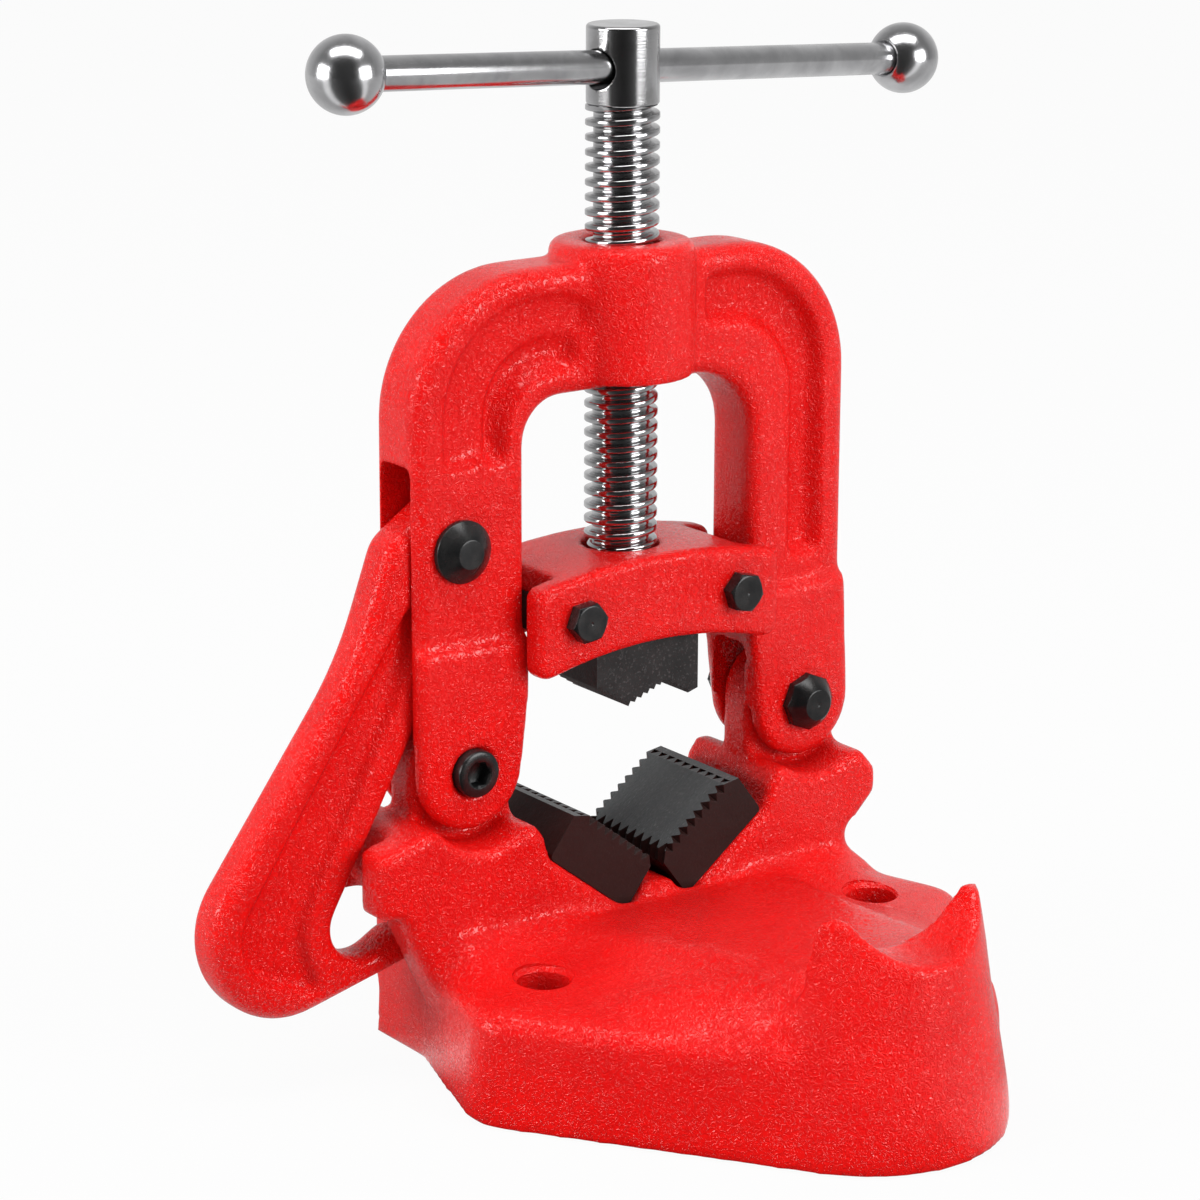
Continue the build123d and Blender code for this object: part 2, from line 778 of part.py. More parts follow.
# Latch pin with a coned head and a ring groove
clip_y = yoke_half + washer_t + running_gap
latch_end = clip_y + clip_t + end_out
with BuildPart() as latch_pin:
    with BuildSketch(front_plane(-yoke_half)):
        with Locations(latch_at):
            Circle(latch_head_d / 2)
    extrude(amount=latch_head_h)
    rim_edge = latch_pin.edges().group_by(Axis.Y)[0]
    head_drop = latch_head_h - latch_head_rim
    chamfer(rim_edge, head_drop, (latch_head_d - latch_head_flat_d) / 2)
    with BuildSketch(front_plane(-yoke_half)):
        with Locations(latch_at):
            Circle(latch_pin_d / 2)
    extrude(amount=-yoke_half - latch_end)
    with BuildSketch(front_plane(clip_y + clip_t + running_gap)):
        with Locations(latch_at):
            Circle(latch_pin_d)
            Circle(latch_groove_d / 2, mode=Mode.SUBTRACT)
    extrude(amount=clip_t + 2 * running_gap, mode=Mode.SUBTRACT)

latch_pin.part.label = "latch_pin"
export_step(latch_pin.part, "parts/latch_pin.step")

with BuildPart() as latch_pin_clip:
    with BuildSketch(front_plane(clip_y + clip_t)):
        with Locations(latch_at):
            Circle(latch_pin_d / 2 + clip_over)
            Circle(latch_groove_d / 2 + running_gap, mode=Mode.SUBTRACT)
            Rectangle(clip_gap, latch_pin_d, align=(Align.CENTER, Align.MAX), mode=Mode.SUBTRACT)
    extrude(amount=clip_t)

latch_pin_clip.part.label = "latch_pin_clip"
export_step(latch_pin_clip.part, "parts/latch_pin_clip.step")

# Cross bolt, a cap screw let into the front cheek
with BuildPart() as cross_bolt:
    head_y = -cheek_half - cross_head_out
    with BuildSketch(front_plane(head_y)):
        with Locations(cross_at):
            Circle(cross_head_d / 2)
    extrude(amount=-cross_head_h)
    chamfer(cross_bolt.edges().group_by(Axis.Y)[0], end_out / 2)
    with BuildSketch(front_plane(head_y)):
        with Locations(cross_at):
            RegularPolygon(cross_socket_af / 2, 6, major_radius=False)
    extrude(amount=-cross_socket_depth, mode=Mode.SUBTRACT)
    with BuildSketch(front_plane(head_y + cross_head_h)):
        with Locations(cross_at):
            Circle(cross_bolt_d / 2)
    extrude(amount=head_y + cross_head_h - cheek_half - cross_nut_h - end_out)

cross_bolt.part.label = "cross_bolt"
export_step(cross_bolt.part, "parts/cross_bolt.step")

# Washers and nuts at the back, each on its own pin or bolt
washers = [
    ("hinge_pin_washer", [hinge_at], cheek_half, hinge_pin_d),
    ("latch_pin_washer", [latch_at], yoke_half, latch_pin_d),
]
for name, spots, y, d in washers:
    with BuildPart() as washer:
        with BuildSketch(front_plane(y + washer_t)):
            with Locations(*spots):
                Circle(d / 2 + washer_over)
                Circle(d / 2 + bolt_gap, mode=Mode.SUBTRACT)
        extrude(amount=washer_t)
    washer.part.label = name
    export_step(washer.part, f"parts/{name}.step")

nuts = [
    ("hinge_pin_nut", [hinge_at], cheek_half + washer_t, hinge_nut_h, hinge_nut_af, hinge_pin_d),
    ("cross_bolt_nut", [cross_at], cheek_half, cross_nut_h, cross_nut_af, cross_bolt_d),
    ("jaw_bolt_nuts", jaw_bolt_points, holder_half_depth, jaw_nut_h, jaw_bolt_af, jaw_bolt_d),
]
for name, spots, y, height, across_flats, d in nuts:
    with BuildPart() as nut:
        with BuildSketch(front_plane(y + height)):
            with Locations(*spots):
                RegularPolygon(across_flats / 2, 6, major_radius=False)
                Circle(d / 2, mode=Mode.SUBTRACT)
        extrude(amount=height)
    nut.part.label = name
    export_step(nut.part, f"parts/{name}.step")

# Latch hook
hook_circles = [
    (-latch_x, latch_z, hook_eye_r),
    (-brow_x, brow_z, brow_r),
    (-back_x, back_z, -back_r),
    (-heel_x, heel_z, heel_r),
    (-toe_x, toe_z, toe_r),
    (-throat_x, throat_z, -throat_r),
]
web_circles = [
    (-web_top_x, web_top_z, web_top_r),
    (-heel_x, heel_z, heel_r - hook_rim_w),
    (-web_toe_x, web_toe_z, web_toe_r),
    (-throat_x, throat_z, -throat_r - hook_rim_w),
]
with BuildPart() as latch_hook:
    with BuildSketch(front_plane(0)):
        with BuildLine():
            belt(hook_circles)
        make_face()
    extrude(amount=hook_t / 2, both=True)
    hook_faces = latch_hook.faces().filter_by(Axis.Y)
    fillet(hook_faces.edges(), hook_edge_r)
    for y, depth in [(-hook_t / 2, -hook_web_drop), (hook_t / 2, hook_web_drop)]:
        with BuildSketch(front_plane(y)):
            with BuildLine():
                belt(web_circles)
            make_face()
        extrude(amount=depth, taper=hook_web_draft, mode=Mode.SUBTRACT)
    with BuildSketch(front_plane(0)):
        with Locations(latch_at):
            Circle(latch_pin_d / 2 + running_gap)
    extrude(amount=hook_t, both=True, mode=Mode.SUBTRACT)

latch_hook.part.label = "latch_hook"
export_step(latch_hook.part, "parts/latch_hook.step")

# Main screw, with a plain cylinder in place of its thread
handle_dir = (cos(radians(bar_yaw)), sin(radians(bar_yaw)), 0)
with BuildPart() as main_screw:
    with BuildSketch(Plane.XY.offset(screw_foot)):
        Circle(screw_end_d / 2)
    extrude(amount=holder_top - screw_foot)
    with BuildSketch(Plane.XY.offset(holder_top)):
        Circle(screw_d / 2)
    extrude(amount=screw_head_z - holder_top)
    with BuildSketch(Plane.XY.offset(screw_head_z)):
        Circle(screw_head_d / 2)
    extrude(amount=screw_head_h)
    fillet(main_screw.edges().group_by(Axis.Z)[-1], screw_head_edge)
    with BuildSketch(Plane.XY.offset(ring_z - screw_tip)):
        Circle(journal_d / 2)
    extrude(amount=screw_foot - ring_z + screw_tip)
    with BuildSketch(Plane.XY.offset(ring_z - running_gap)):
        Circle(journal_d)
        Circle(ring_groove_d / 2, mode=Mode.SUBTRACT)
    extrude(amount=ring_t + 2 * running_gap, mode=Mode.SUBTRACT)
    with BuildSketch(Plane((0, 0, handle_z), z_dir=handle_dir)):
        Circle(handle_hole_d / 2)
    extrude(amount=screw_head_d, both=True, mode=Mode.SUBTRACT)

main_screw.part.label = "main_screw"
export_step(main_screw.part, "parts/main_screw.step")

# Rings on the journal of the screw: thrust washer above, washer and snap ring below
rings = [
    ("thrust_washer", bore_floor, thrust_washer_t, holder_bore_d - 1, journal_d + 2 * bolt_gap),
    ("screw_retaining_washer", ring_z + ring_t, washer_t, ring_washer_d, journal_d + 2 * bolt_gap),
    ("screw_retaining_ring", ring_z, ring_t, ring_washer_d - 2, ring_groove_d + 2 * running_gap),
]
for name, z, height, outer_d, inner_d in rings:
    with BuildPart() as ring:
        with BuildSketch(Plane.XY.offset(z)):
            Circle(outer_d / 2)
            Circle(inner_d / 2, mode=Mode.SUBTRACT)
        extrude(amount=height)
    ring.part.label = name
    export_step(ring.part, f"parts/{name}.step")

# Handle bar and its two balls, tilted in the hole of the screw head
bar_run = cos(radians(bar_tilt))
bar_plane = Plane(
    (0, 0, handle_z),
    x_dir=(handle_dir[0] * bar_run, handle_dir[1] * bar_run, -sin(radians(bar_tilt))),
    z_dir=(handle_dir[0] * sin(radians(bar_tilt)), handle_dir[1] * sin(radians(bar_tilt)), bar_run),
)
bar_end = ball_pitch / 2 - ball_d / 2 + ball_bore_depth
with BuildPart(bar_plane) as handle_bar:
    with Locations((bar_offset, 0, 0)):
        Cylinder(bar_d / 2, 2 * bar_end, rotation=(0, 90, 0))

handle_bar.part.label = "handle_bar"
export_step(handle_bar.part, "parts/handle_bar.step")

for side, name in [(-1, "handle_ball_left"), (1, "handle_ball_right")]:
    with BuildPart(bar_plane) as handle_ball:
        with Locations((bar_offset + side * ball_pitch / 2, 0, 0)):
            Sphere(ball_d / 2)
        with Locations((bar_offset, 0, 0)):
            Cylinder(bar_d / 2, 2 * bar_end, rotation=(0, 90, 0), mode=Mode.SUBTRACT)
    handle_ball.part.label = name
    export_step(handle_ball.part, f"parts/{name}.step")

# Jaw holder
with BuildPart() as jaw_holder:
    with BuildSketch(front_plane(0)) as holder_face:
        with BuildLine():
            upper = ThreePointArc(
                (holder_half, holder_end_top), (0, holder_top), (-holder_half, holder_end_top)
            )
            lower = ThreePointArc(
                (-holder_half, holder_end_bottom), (0, holder_mid_bottom), (holder_half, holder_end_bottom)
            )
            Line(upper @ 1, lower @ 0)
            Line(lower @ 1, upper @ 0)
        make_face()
        fillet(holder_face.vertices(), holder_corner_r)
    extrude(amount=holder_half_depth, both=True)
    holder_faces = jaw_holder.faces().filter_by(Axis.Y)
    fillet(holder_faces.edges(), holder_edge_r)
    with BuildSketch(Plane.XY.offset(holder_end_bottom)):
        for side in (-1, 1):
            with Locations((side * (holder_notch_x + holder_half), 0)):
                Rectangle(2 * holder_half, 2 * holder_notch_half)
    extrude(amount=holder_top - holder_end_bottom, mode=Mode.SUBTRACT)
    with BuildSketch(Plane.XY.offset(holder_end_bottom)):
        Rectangle(2 * holder_notch_x, 2 * (jaw_half_depth + pocket_gap))
    extrude(amount=holder_web_bottom - holder_end_bottom, mode=Mode.SUBTRACT)
    with BuildSketch(Plane.XY.offset(bore_floor)):
        Circle(holder_bore_d / 2)
    extrude(amount=2 * holder_bore_depth, mode=Mode.SUBTRACT)
    with BuildSketch(Plane.XY.offset(holder_web_bottom)):
        Circle(journal_d / 2 + running_gap)
    extrude(amount=2 * holder_bore_depth, mode=Mode.SUBTRACT)
    with BuildSketch(front_plane(0)):
        with Locations(*jaw_bolt_points):
            Circle(jaw_bolt_d / 2 + bolt_gap)
    extrude(amount=2 * holder_half_depth, both=True, mode=Mode.SUBTRACT)

jaw_holder.part.label = "jaw_holder"
export_step(jaw_holder.part, "parts/jaw_holder.step")

# Upper jaw
with BuildPart() as upper_jaw:
    with BuildSketch(front_plane(0)):
        with BuildLine():
            Polyline(
                (-jaw_half_w, jaw_left_z),
                *saw((-jaw_half_w, jaw_left_z), jaw_tip_left),
                *saw(jaw_tip_left, jaw_apex),
                *saw(jaw_apex, jaw_tip_right),
                (jaw_half_w, jaw_right_z),
                (jaw_half_w, jaw_tongue_bottom),
                (jaw_tongue_half, jaw_tongue_bottom),
                (jaw_tongue_half, holder_web_bottom),
                (-jaw_tongue_half, holder_web_bottom),
                (-jaw_tongue_half, jaw_tongue_bottom),
                (-jaw_half_w, jaw_tongue_bottom),
                close=True,
            )
        make_face()
    extrude(amount=jaw_half_depth, both=True)
    with BuildSketch(Plane.XY.offset(holder_web_bottom)):
        Circle(jaw_relief_d / 2)
    extrude(amount=-jaw_relief_depth, mode=Mode.SUBTRACT)
    with BuildSketch(front_plane(0)):
        with Locations(*jaw_bolt_points):
            Circle(jaw_bolt_d / 2 + bolt_gap)
    extrude(amount=2 * jaw_half_depth, both=True, mode=Mode.SUBTRACT)

upper_jaw.part.label = "upper_jaw"
export_step(upper_jaw.part, "parts/upper_jaw.step")

# Two bolts through the holder and the upper jaw
with BuildPart() as jaw_bolts:
    with BuildSketch(front_plane(-holder_half_depth)):
        with Locations(*jaw_bolt_points):
            RegularPolygon(jaw_bolt_af / 2, 6, major_radius=False)
    extrude(amount=jaw_bolt_head_h)
    with BuildSketch(front_plane(-holder_half_depth)):
        with Locations(*jaw_bolt_points):
            Circle(jaw_bolt_d / 2)
    extrude(amount=-2 * holder_half_depth - jaw_nut_h - end_out)

jaw_bolts.part.label = "jaw_bolts"
export_step(jaw_bolts.part, "parts/jaw_bolts.step")
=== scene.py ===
"""Looks of a yoke pipe vise: red castings, blackened jaws and bolts, bright steel screw.

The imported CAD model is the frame. Castings are softened copies of their solids, the jaws get
their broken edges and worn faces, and pins, bolts, screw and bar are turned to their full detail.
"""

from __future__ import annotations

import logging
import math
from collections.abc import Callable, Iterator
from contextlib import contextmanager
from dataclasses import dataclass, field
from enum import Enum

import bpy
from mathutils import Matrix, Vector

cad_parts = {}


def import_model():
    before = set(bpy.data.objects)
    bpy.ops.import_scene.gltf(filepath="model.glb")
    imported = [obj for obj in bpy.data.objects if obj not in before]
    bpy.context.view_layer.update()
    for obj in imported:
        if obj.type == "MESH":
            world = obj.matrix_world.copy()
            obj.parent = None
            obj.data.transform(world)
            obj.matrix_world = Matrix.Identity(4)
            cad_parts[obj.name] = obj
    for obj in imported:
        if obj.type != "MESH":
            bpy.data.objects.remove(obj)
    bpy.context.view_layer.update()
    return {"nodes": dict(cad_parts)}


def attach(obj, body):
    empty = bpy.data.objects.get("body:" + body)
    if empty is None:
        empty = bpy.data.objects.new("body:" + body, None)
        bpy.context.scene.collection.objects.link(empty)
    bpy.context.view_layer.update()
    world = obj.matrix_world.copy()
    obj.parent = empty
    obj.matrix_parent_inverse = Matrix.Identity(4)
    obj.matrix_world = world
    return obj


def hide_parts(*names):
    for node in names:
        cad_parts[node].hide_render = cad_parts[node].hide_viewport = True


LOG = logging.getLogger("pipe_vise")
MM = 0.001
MERGE = 2e-6  # metres within which vertices of a finished solid merge
CLOSE = 1e-6  # metres within which one tool's own vertices merge
FLAT = math.radians(0.5)  # faces that meet at less lie in one plane
PAST = 1.0  # millimetres that a cutter runs past a face
FRONT = (90.0, 0.0, 0.0)  # degrees that turn the Z axis to the front
HERE = (0.0, 0.0, 0.0)
BAR_Z = 263.0
BAR_YAW = 8.8
BAR_TILT = 3.9
JAW_LEAN = 37.5
Thing = bpy.types.Object
Finish = bpy.types.Material


class Body(Enum):
    """Rigid bodies of the vise that pieces ride on."""

    BASE = "base"
    YOKE = "yoke_frame"
    HOOK = "hook"
    HOLDER = "holder"
    SCREW = "screw"
    BAR = "bar"


class Slot(Enum):
    """Material slots of the record."""

    PAINT = "red_paint"
    JAW = "jaw_steel"
    OXIDE = "black_oxide"
    SCREW = "screw_steel"
    BAR = "bar_steel"


class Value:
    """A node socket that takes part in Python arithmetic."""

    def __init__(self, graph: Graph, socket: bpy.types.NodeSocket) -> None:
        """Keep the graph and the output socket."""
        self.graph = graph
        self.socket = socket

    def _math(self, operation: str, first: object, second: object = 0.0) -> Value:
        """Add one Math node."""
        return self.graph.node("ShaderNodeMath", {"operation": operation}, {0: first, 1: second})

    def __add__(self, other: object) -> Value:
        """Sum."""
        return self._math("ADD", self, other)

    def __radd__(self, other: object) -> Value:
        """Sum with a number on the left."""
        return self._math("ADD", other, self)

    def __sub__(self, other: object) -> Value:
        """Difference."""
        return self._math("SUBTRACT", self, other)

    def __rsub__(self, other: object) -> Value:
        """Difference with a number on the left."""
        return self._math("SUBTRACT", other, self)

    def __mul__(self, other: object) -> Value:
        """Product."""
        return self._math("MULTIPLY", self, other)

    def __rmul__(self, other: object) -> Value:
        """Product with a number on the left."""
        return self._math("MULTIPLY", other, self)

    def __abs__(self) -> Value:
        """Size without its sign."""
        return self._math("ABSOLUTE", self)

    def clipped(self) -> Value:
        """This value held between 0 and 1."""
        return self.graph.node("ShaderNodeClamp", {}, {"Value": self, "Min": 0.0, "Max": 1.0})


class Graph:
    """Builds the nodes of one material or of the world."""

    def __init__(self, owner: bpy.types.ID, output: str = "ShaderNodeOutputMaterial") -> None:
        """Empty the owner's nodes and add its output.

        Args:
            owner: The material or world.
            output: Type of its output node.
        """
        owner.use_nodes = True
        self.owner = owner
        self.tree = owner.node_tree
        self.tree.nodes.clear()
        self.output = self.tree.nodes.new(output)

    def node(self, kind: str, settings: dict, inputs: dict, output: object = 0) -> Value:
        """Add a node, set it up and link it.

        Args:
            kind: Node type.
            settings: Node properties and a ramp's stops, set before any socket.
            inputs: Socket name or number to a Value or a constant.
            output: Name or number of the output socket to hand back.

        Returns:
            The chosen output.
        """
        made = self.tree.nodes.new(kind)
        for key, value in settings.items():
            if key == "stops":
                self.set_stops(made.color_ramp.elements, value)
            else:
                setattr(made, key, value)
        for key, value in inputs.items():
            if isinstance(value, Value):
                self.tree.links.new(value.socket, made.inputs[key])
            else:
                made.inputs[key].default_value = value
        return Value(self, made.outputs[output])

    def set_stops(self, elements: bpy.types.ColorRampElements, stops: list[tuple]) -> None:
        """Give a colour ramp its stops.

        Args:
            elements: The elements of the ramp.
            stops: Pairs of position and grey level.
        """
        while len(elements) < len(stops):
            elements.new(0.5)
        for element, (position, level) in zip(elements, stops):
            element.position = position
            element.color = (level, level, level, 1.0)

    def ramp(self, value: Value, *stops: tuple[float, float]) -> Value:
        """Map a value through straight steps between pairs of position and grey level."""
        return self.node("ShaderNodeValToRGB", {"stops": stops}, {"Fac": value}, "Color")

    def place(self, scale: tuple = (1.0, 1.0, 1.0), turn: tuple = HERE) -> Value:
        """Object coordinates with their own scale and turn.

        Args:
            scale: Stretch along each axis.
            turn: Turn about each axis in degrees.

        Returns:
            The mapped coordinates.
        """
        coordinates = self.node("ShaderNodeTexCoord", {}, {}, "Object")
        angles = tuple(math.radians(angle) for angle in turn)
        inputs = {"Vector": coordinates, "Rotation": angles, "Scale": scale}
        return self.node("ShaderNodeMapping", {}, inputs)

    def noise(self, where: Value, scale: float, detail: float = 3.0, distortion: float = 0.0) -> Value:
        """Cloudy noise between 0 and 1.

        Args:
            where: Coordinates.
            scale: Repeats per metre.
            detail: Octaves.
            distortion: Swirl.

        Returns:
            The noise value.
        """
        inputs = {"Vector": where, "Scale": scale, "Detail": detail, "Distortion": distortion}
        return self.node("ShaderNodeTexNoise", {}, inputs, "Fac")

    def mix(self, factor: object, first: object, second: object) -> Value:
        """Blend of two colours, the second at a factor of 1."""
        return self.node("ShaderNodeMix", {"data_type": "RGBA"}, {0: factor, 6: first, 7: second}, 2)

    def blend(self, factor: object, first: Value, second: Value) -> Value:
        """Blend of two shaders, the second at a factor of 1."""
        return self.node("ShaderNodeMixShader", {}, {0: factor, 1: first, 2: second})

    def ray(self, kind: str) -> Value:
        """Whether the ray is of one kind."""
        return self.node("ShaderNodeLightPath", {}, {}, f"Is {kind} Ray")

    def along(self, way: Value, axis: Vector) -> Value:
        """How far a direction points along an axis, from -1 to 1."""
        inputs = {0: way, 1: tuple(axis)}
        return self.node("ShaderNodeVectorMath", {"operation": "DOT_PRODUCT"}, inputs, "Value")

    def surface(self, shader: Value) -> bpy.types.ID:
        """Link the last shader to the output and hand back the material or world."""
        self.tree.links.new(shader.socket, self.output.inputs["Surface"])
        return self.owner

    def finish(self, numbers: dict, colour: Value, rough: Value, layers: list[tuple]) -> Finish:
        """End the material in one Principled shader over a chain of bumps.

        Args:
            numbers: Socket name to a uniform value.
            colour: Base colour.
            rough: Roughness.
            layers: Pairs of height value and its depth in metres, coarse first.

        Returns:
            The material.
        """
        bent = {}
        for height, depth in layers:
            inputs = {"Height": height, "Strength": 1.0, "Distance": depth, **bent}
            bent = {"Normal": self.node("ShaderNodeBump", {}, inputs)}
        links = {"Base Color": colour, "Roughness": rough.clipped(), **bent}
        return self.surface(self.node("ShaderNodeBsdfPrincipled", {}, {**numbers, **links}))


@dataclass(frozen=True)
class CastPaint:
    """Thick glossy red paint over a rough casting, finely wrinkled."""

    colour: tuple = (0.74, 0.0055, 0.0045, 1.0)
    shade: tuple = (0.68, 0.0040, 0.0035, 1.0)
    gloss: float = 0.34
    roughness: float = 0.06
    swell_depth: float = 0.30 * MM
    vein_depth: float = 0.17 * MM
    pebble_depth: float = 0.07 * MM

    def material(self) -> Finish:
        """Build the paint.

        Returns:
            The material.
        """
        graph = Graph(bpy.data.materials.new("cast_paint"))
        plain = graph.place()
        swell = graph.noise(plain, 90.0, 2.0)
        veins = 1.0 - abs(graph.noise(plain, 700.0, 1.0, 1.2) * 2.0 - 1.0) * 4.0
        pebbles = graph.noise(graph.place((1.0, 1.0, 0.7), (20, 35, 10)), 1000.0, 1.0, 0.5)
        patches = graph.ramp(graph.noise(plain, 45.0), (0.38, 0.0), (0.66, 1.0))
        return graph.finish(
            {"Specular IOR Level": self.gloss},
            graph.mix(patches, self.colour, self.shade),
            self.roughness + swell * 0.07 + pebbles * 0.04,
            [(swell, self.swell_depth), (veins.clipped(), self.vein_depth), (pebbles, self.pebble_depth)],
        )


@dataclass(frozen=True)
class BlackOxide:
    """Black oxide on small turned and milled steel pieces, faintly worn."""

    colour: tuple = (0.010, 0.0105, 0.011, 1.0)
    worn: tuple = (0.026, 0.025, 0.0245, 1.0)
    roughness: float = 0.19
    grain_depth: float = 0.025 * MM

    def material(self) -> Finish:
        """Build the oxide.

        Returns:
            The material.
        """
        graph = Graph(bpy.data.materials.new("black_oxide"))
        plain = graph.place()
        patches = graph.noise(plain, 200.0)
        return graph.finish(
            {"Metallic": 0.35, "Specular IOR Level": 0.5},
            graph.mix(graph.ramp(patches, (0.42, 0.0), (0.72, 1.0)), self.colour, self.worn),
            self.roughness + patches * 0.12,
            [(graph.noise(plain, 2200.0), self.grain_depth)],
        )


@dataclass(frozen=True)
class JawSteel:
    """Blackened jaw steel: speckled on the grip, brown on the ends, ground pale on the lands."""

    name: str
    colour: tuple
    speck: tuple
    specks: float
    roughness: float
    stretch: tuple = (1.0, 1.0, 1.0)
    pit_depth: float = 0.10 * MM

    def material(self) -> Finish:
        """Build the jaw finish.

        Returns:
            The material.
        """
        graph = Graph(bpy.data.materials.new(self.name))
        plain = graph.place(self.stretch)
        cloud = graph.noise(plain, 140.0, 4.0)
        fine = graph.ramp(graph.noise(plain, 1500.0), (0.56, 0.0), (0.72, 1.0))
        pits = graph.noise(plain, 700.0, 4.0, 0.8)
        return graph.finish(
            {"Metallic": 0.0, "Specular IOR Level": 0.20},
            graph.mix((fine * self.specks + cloud * 0.25).clipped(), self.colour, self.speck),
            self.roughness + cloud * 0.20 - fine * 0.12,
            [(cloud, self.pit_depth), (pits, self.pit_depth)],
        )


@dataclass(frozen=True)
class BrightSteel:
    """Bright steel with the fine rings of a lathe or a brush, square to the piece's axis."""

    name: str
    colour: tuple
    dull: tuple
    stretch: tuple
    turn: tuple
    repeats: float
    ring_depth: float
    smear_stretch: tuple
    smear_repeats: float
    roughness: float
    ring_roughness: float

    def material(self) -> Finish:
        """Build the steel.

        Returns:
            The material.
        """
        graph = Graph(bpy.data.materials.new(self.name))
        rings = graph.noise(graph.place(self.stretch, self.turn), self.repeats)
        smears = graph.noise(graph.place(self.smear_stretch), self.smear_repeats, 4.0, 0.5)
        return graph.finish(
            {"Metallic": 1.0},
            graph.mix(graph.ramp(smears, (0.35, 0.0), (0.7, 1.0)), self.colour, self.dull),
            self.roughness + rings * self.ring_roughness + smears * 0.06,
            [(rings, self.ring_depth)],
        )


GRIP = JawSteel("jaw_grip", (0.009, 0.0095, 0.0095, 1.0), (0.10, 0.10, 0.10, 1.0), 0.45, 0.32)
BROWN = JawSteel("jaw_brown", (0.017, 0.0055, 0.0045, 1.0), (0.036, 0.016, 0.014, 1.0), 0.35, 0.36)
LAND = JawSteel("jaw_land", (0.060, 0.064, 0.066, 1.0), (0.20, 0.21, 0.21, 1.0), 0.5, 0.30, (0.3, 3.0, 1.0))
TURNED = BrightSteel(
    "turned_steel",
    colour=(0.56, 0.56, 0.57, 1.0),
    dull=(0.36, 0.355, 0.355, 1.0),
    stretch=(0.15, 0.15, 14.0),
    turn=HERE,
    repeats=260.0,
    ring_depth=0.012 * MM,
    smear_stretch=(1.0, 1.0, 0.5),
    smear_repeats=120.0,
    roughness=0.08,
    ring_roughness=0.08,
)
BRUSHED = BrightSteel(
    "brushed_steel",
    colour=(0.66, 0.66, 0.67, 1.0),
    dull=(0.46, 0.46, 0.47, 1.0),
    stretch=(14.0, 0.2, 0.2),
    turn=(0.0, -BAR_TILT, -BAR_YAW),
    repeats=220.0,
    ring_depth=0.010 * MM,
    smear_stretch=(1.0, 1.0, 1.0),
    smear_repeats=90.0,
    roughness=0.12,
    ring_roughness=0.09,
)


@dataclass
class Stock:
    """What the pieces are made from: the CAD solids by node, and the finishes, each built once."""

    nodes: dict
    paint: Finish = field(default_factory=CastPaint().material)
    oxide: Finish = field(default_factory=BlackOxide().material)
    grip: Finish = field(default_factory=GRIP.material)
    brown: Finish = field(default_factory=BROWN.material)
    land: Finish = field(default_factory=LAND.material)
    turned: Finish = field(default_factory=TURNED.material)
    brushed: Finish = field(default_factory=BRUSHED.material)


def bearing(turn: float, rise: float) -> Vector:
    """Direction from the vise at a bearing from the front and a rise, both in degrees."""
    turn, rise = math.radians(turn), math.radians(rise)
    return Vector((-math.sin(turn) * math.cos(rise), -math.cos(turn) * math.cos(rise), math.sin(rise)))


def only(thing: Thing) -> None:
    """Select one object alone and make it active.

    Args:
        thing: The object.
    """
    bpy.ops.object.select_all(action="DESELECT")
    thing.select_set(True)
    bpy.context.view_layer.objects.active = thing


@contextmanager
def editing(thing: Thing, chosen: Callable[[Vector], bool] | None = None) -> Iterator[None]:
    """Edit mode on one object, with all of it or a chosen part selected.

    Args:
        thing: The object.
        chosen: Tells whether a point, in millimetres, is in that part.

    Yields:
        Nothing, while edit mode lasts.
    """
    only(thing)
    bpy.ops.object.mode_set(mode="EDIT")
    bpy.ops.mesh.select_mode(type="VERT")
    bpy.ops.mesh.select_all(action="DESELECT" if chosen else "SELECT")
    if chosen:
        bpy.ops.object.mode_set(mode="OBJECT")
        for vertex in thing.data.vertices:
            vertex.select = chosen(vertex.co / MM)
        bpy.ops.object.mode_set(mode="EDIT")
    yield
    bpy.ops.object.mode_set(mode="OBJECT")


def modify(thing: Thing, kind: str, **settings: object) -> None:
    """Add one modifier and apply it.

    Args:
        thing: The object.
        kind: Modifier type.
        settings: Its properties.
    """
    only(thing)
    modifier = thing.modifiers.new(kind.lower(), kind)
    for key, value in settings.items():
        setattr(modifier, key, value)
    bpy.ops.object.modifier_apply(modifier=modifier.name)


def shade(thing: Thing, angle: float) -> None:
    """Shade smooth, apart from edges sharper than an angle in degrees."""
    only(thing)
    bpy.ops.object.shade_smooth_by_angle(angle=math.radians(angle))


def close_up(thing: Thing) -> Thing:
    """Merge doubled vertices and turn every face outwards.

    Args:
        thing: The object.

    Returns:
        The object.
    """
    with editing(thing):
        bpy.ops.mesh.remove_doubles(threshold=MERGE)
        bpy.ops.mesh.normals_make_consistent(inside=False)
    return thing


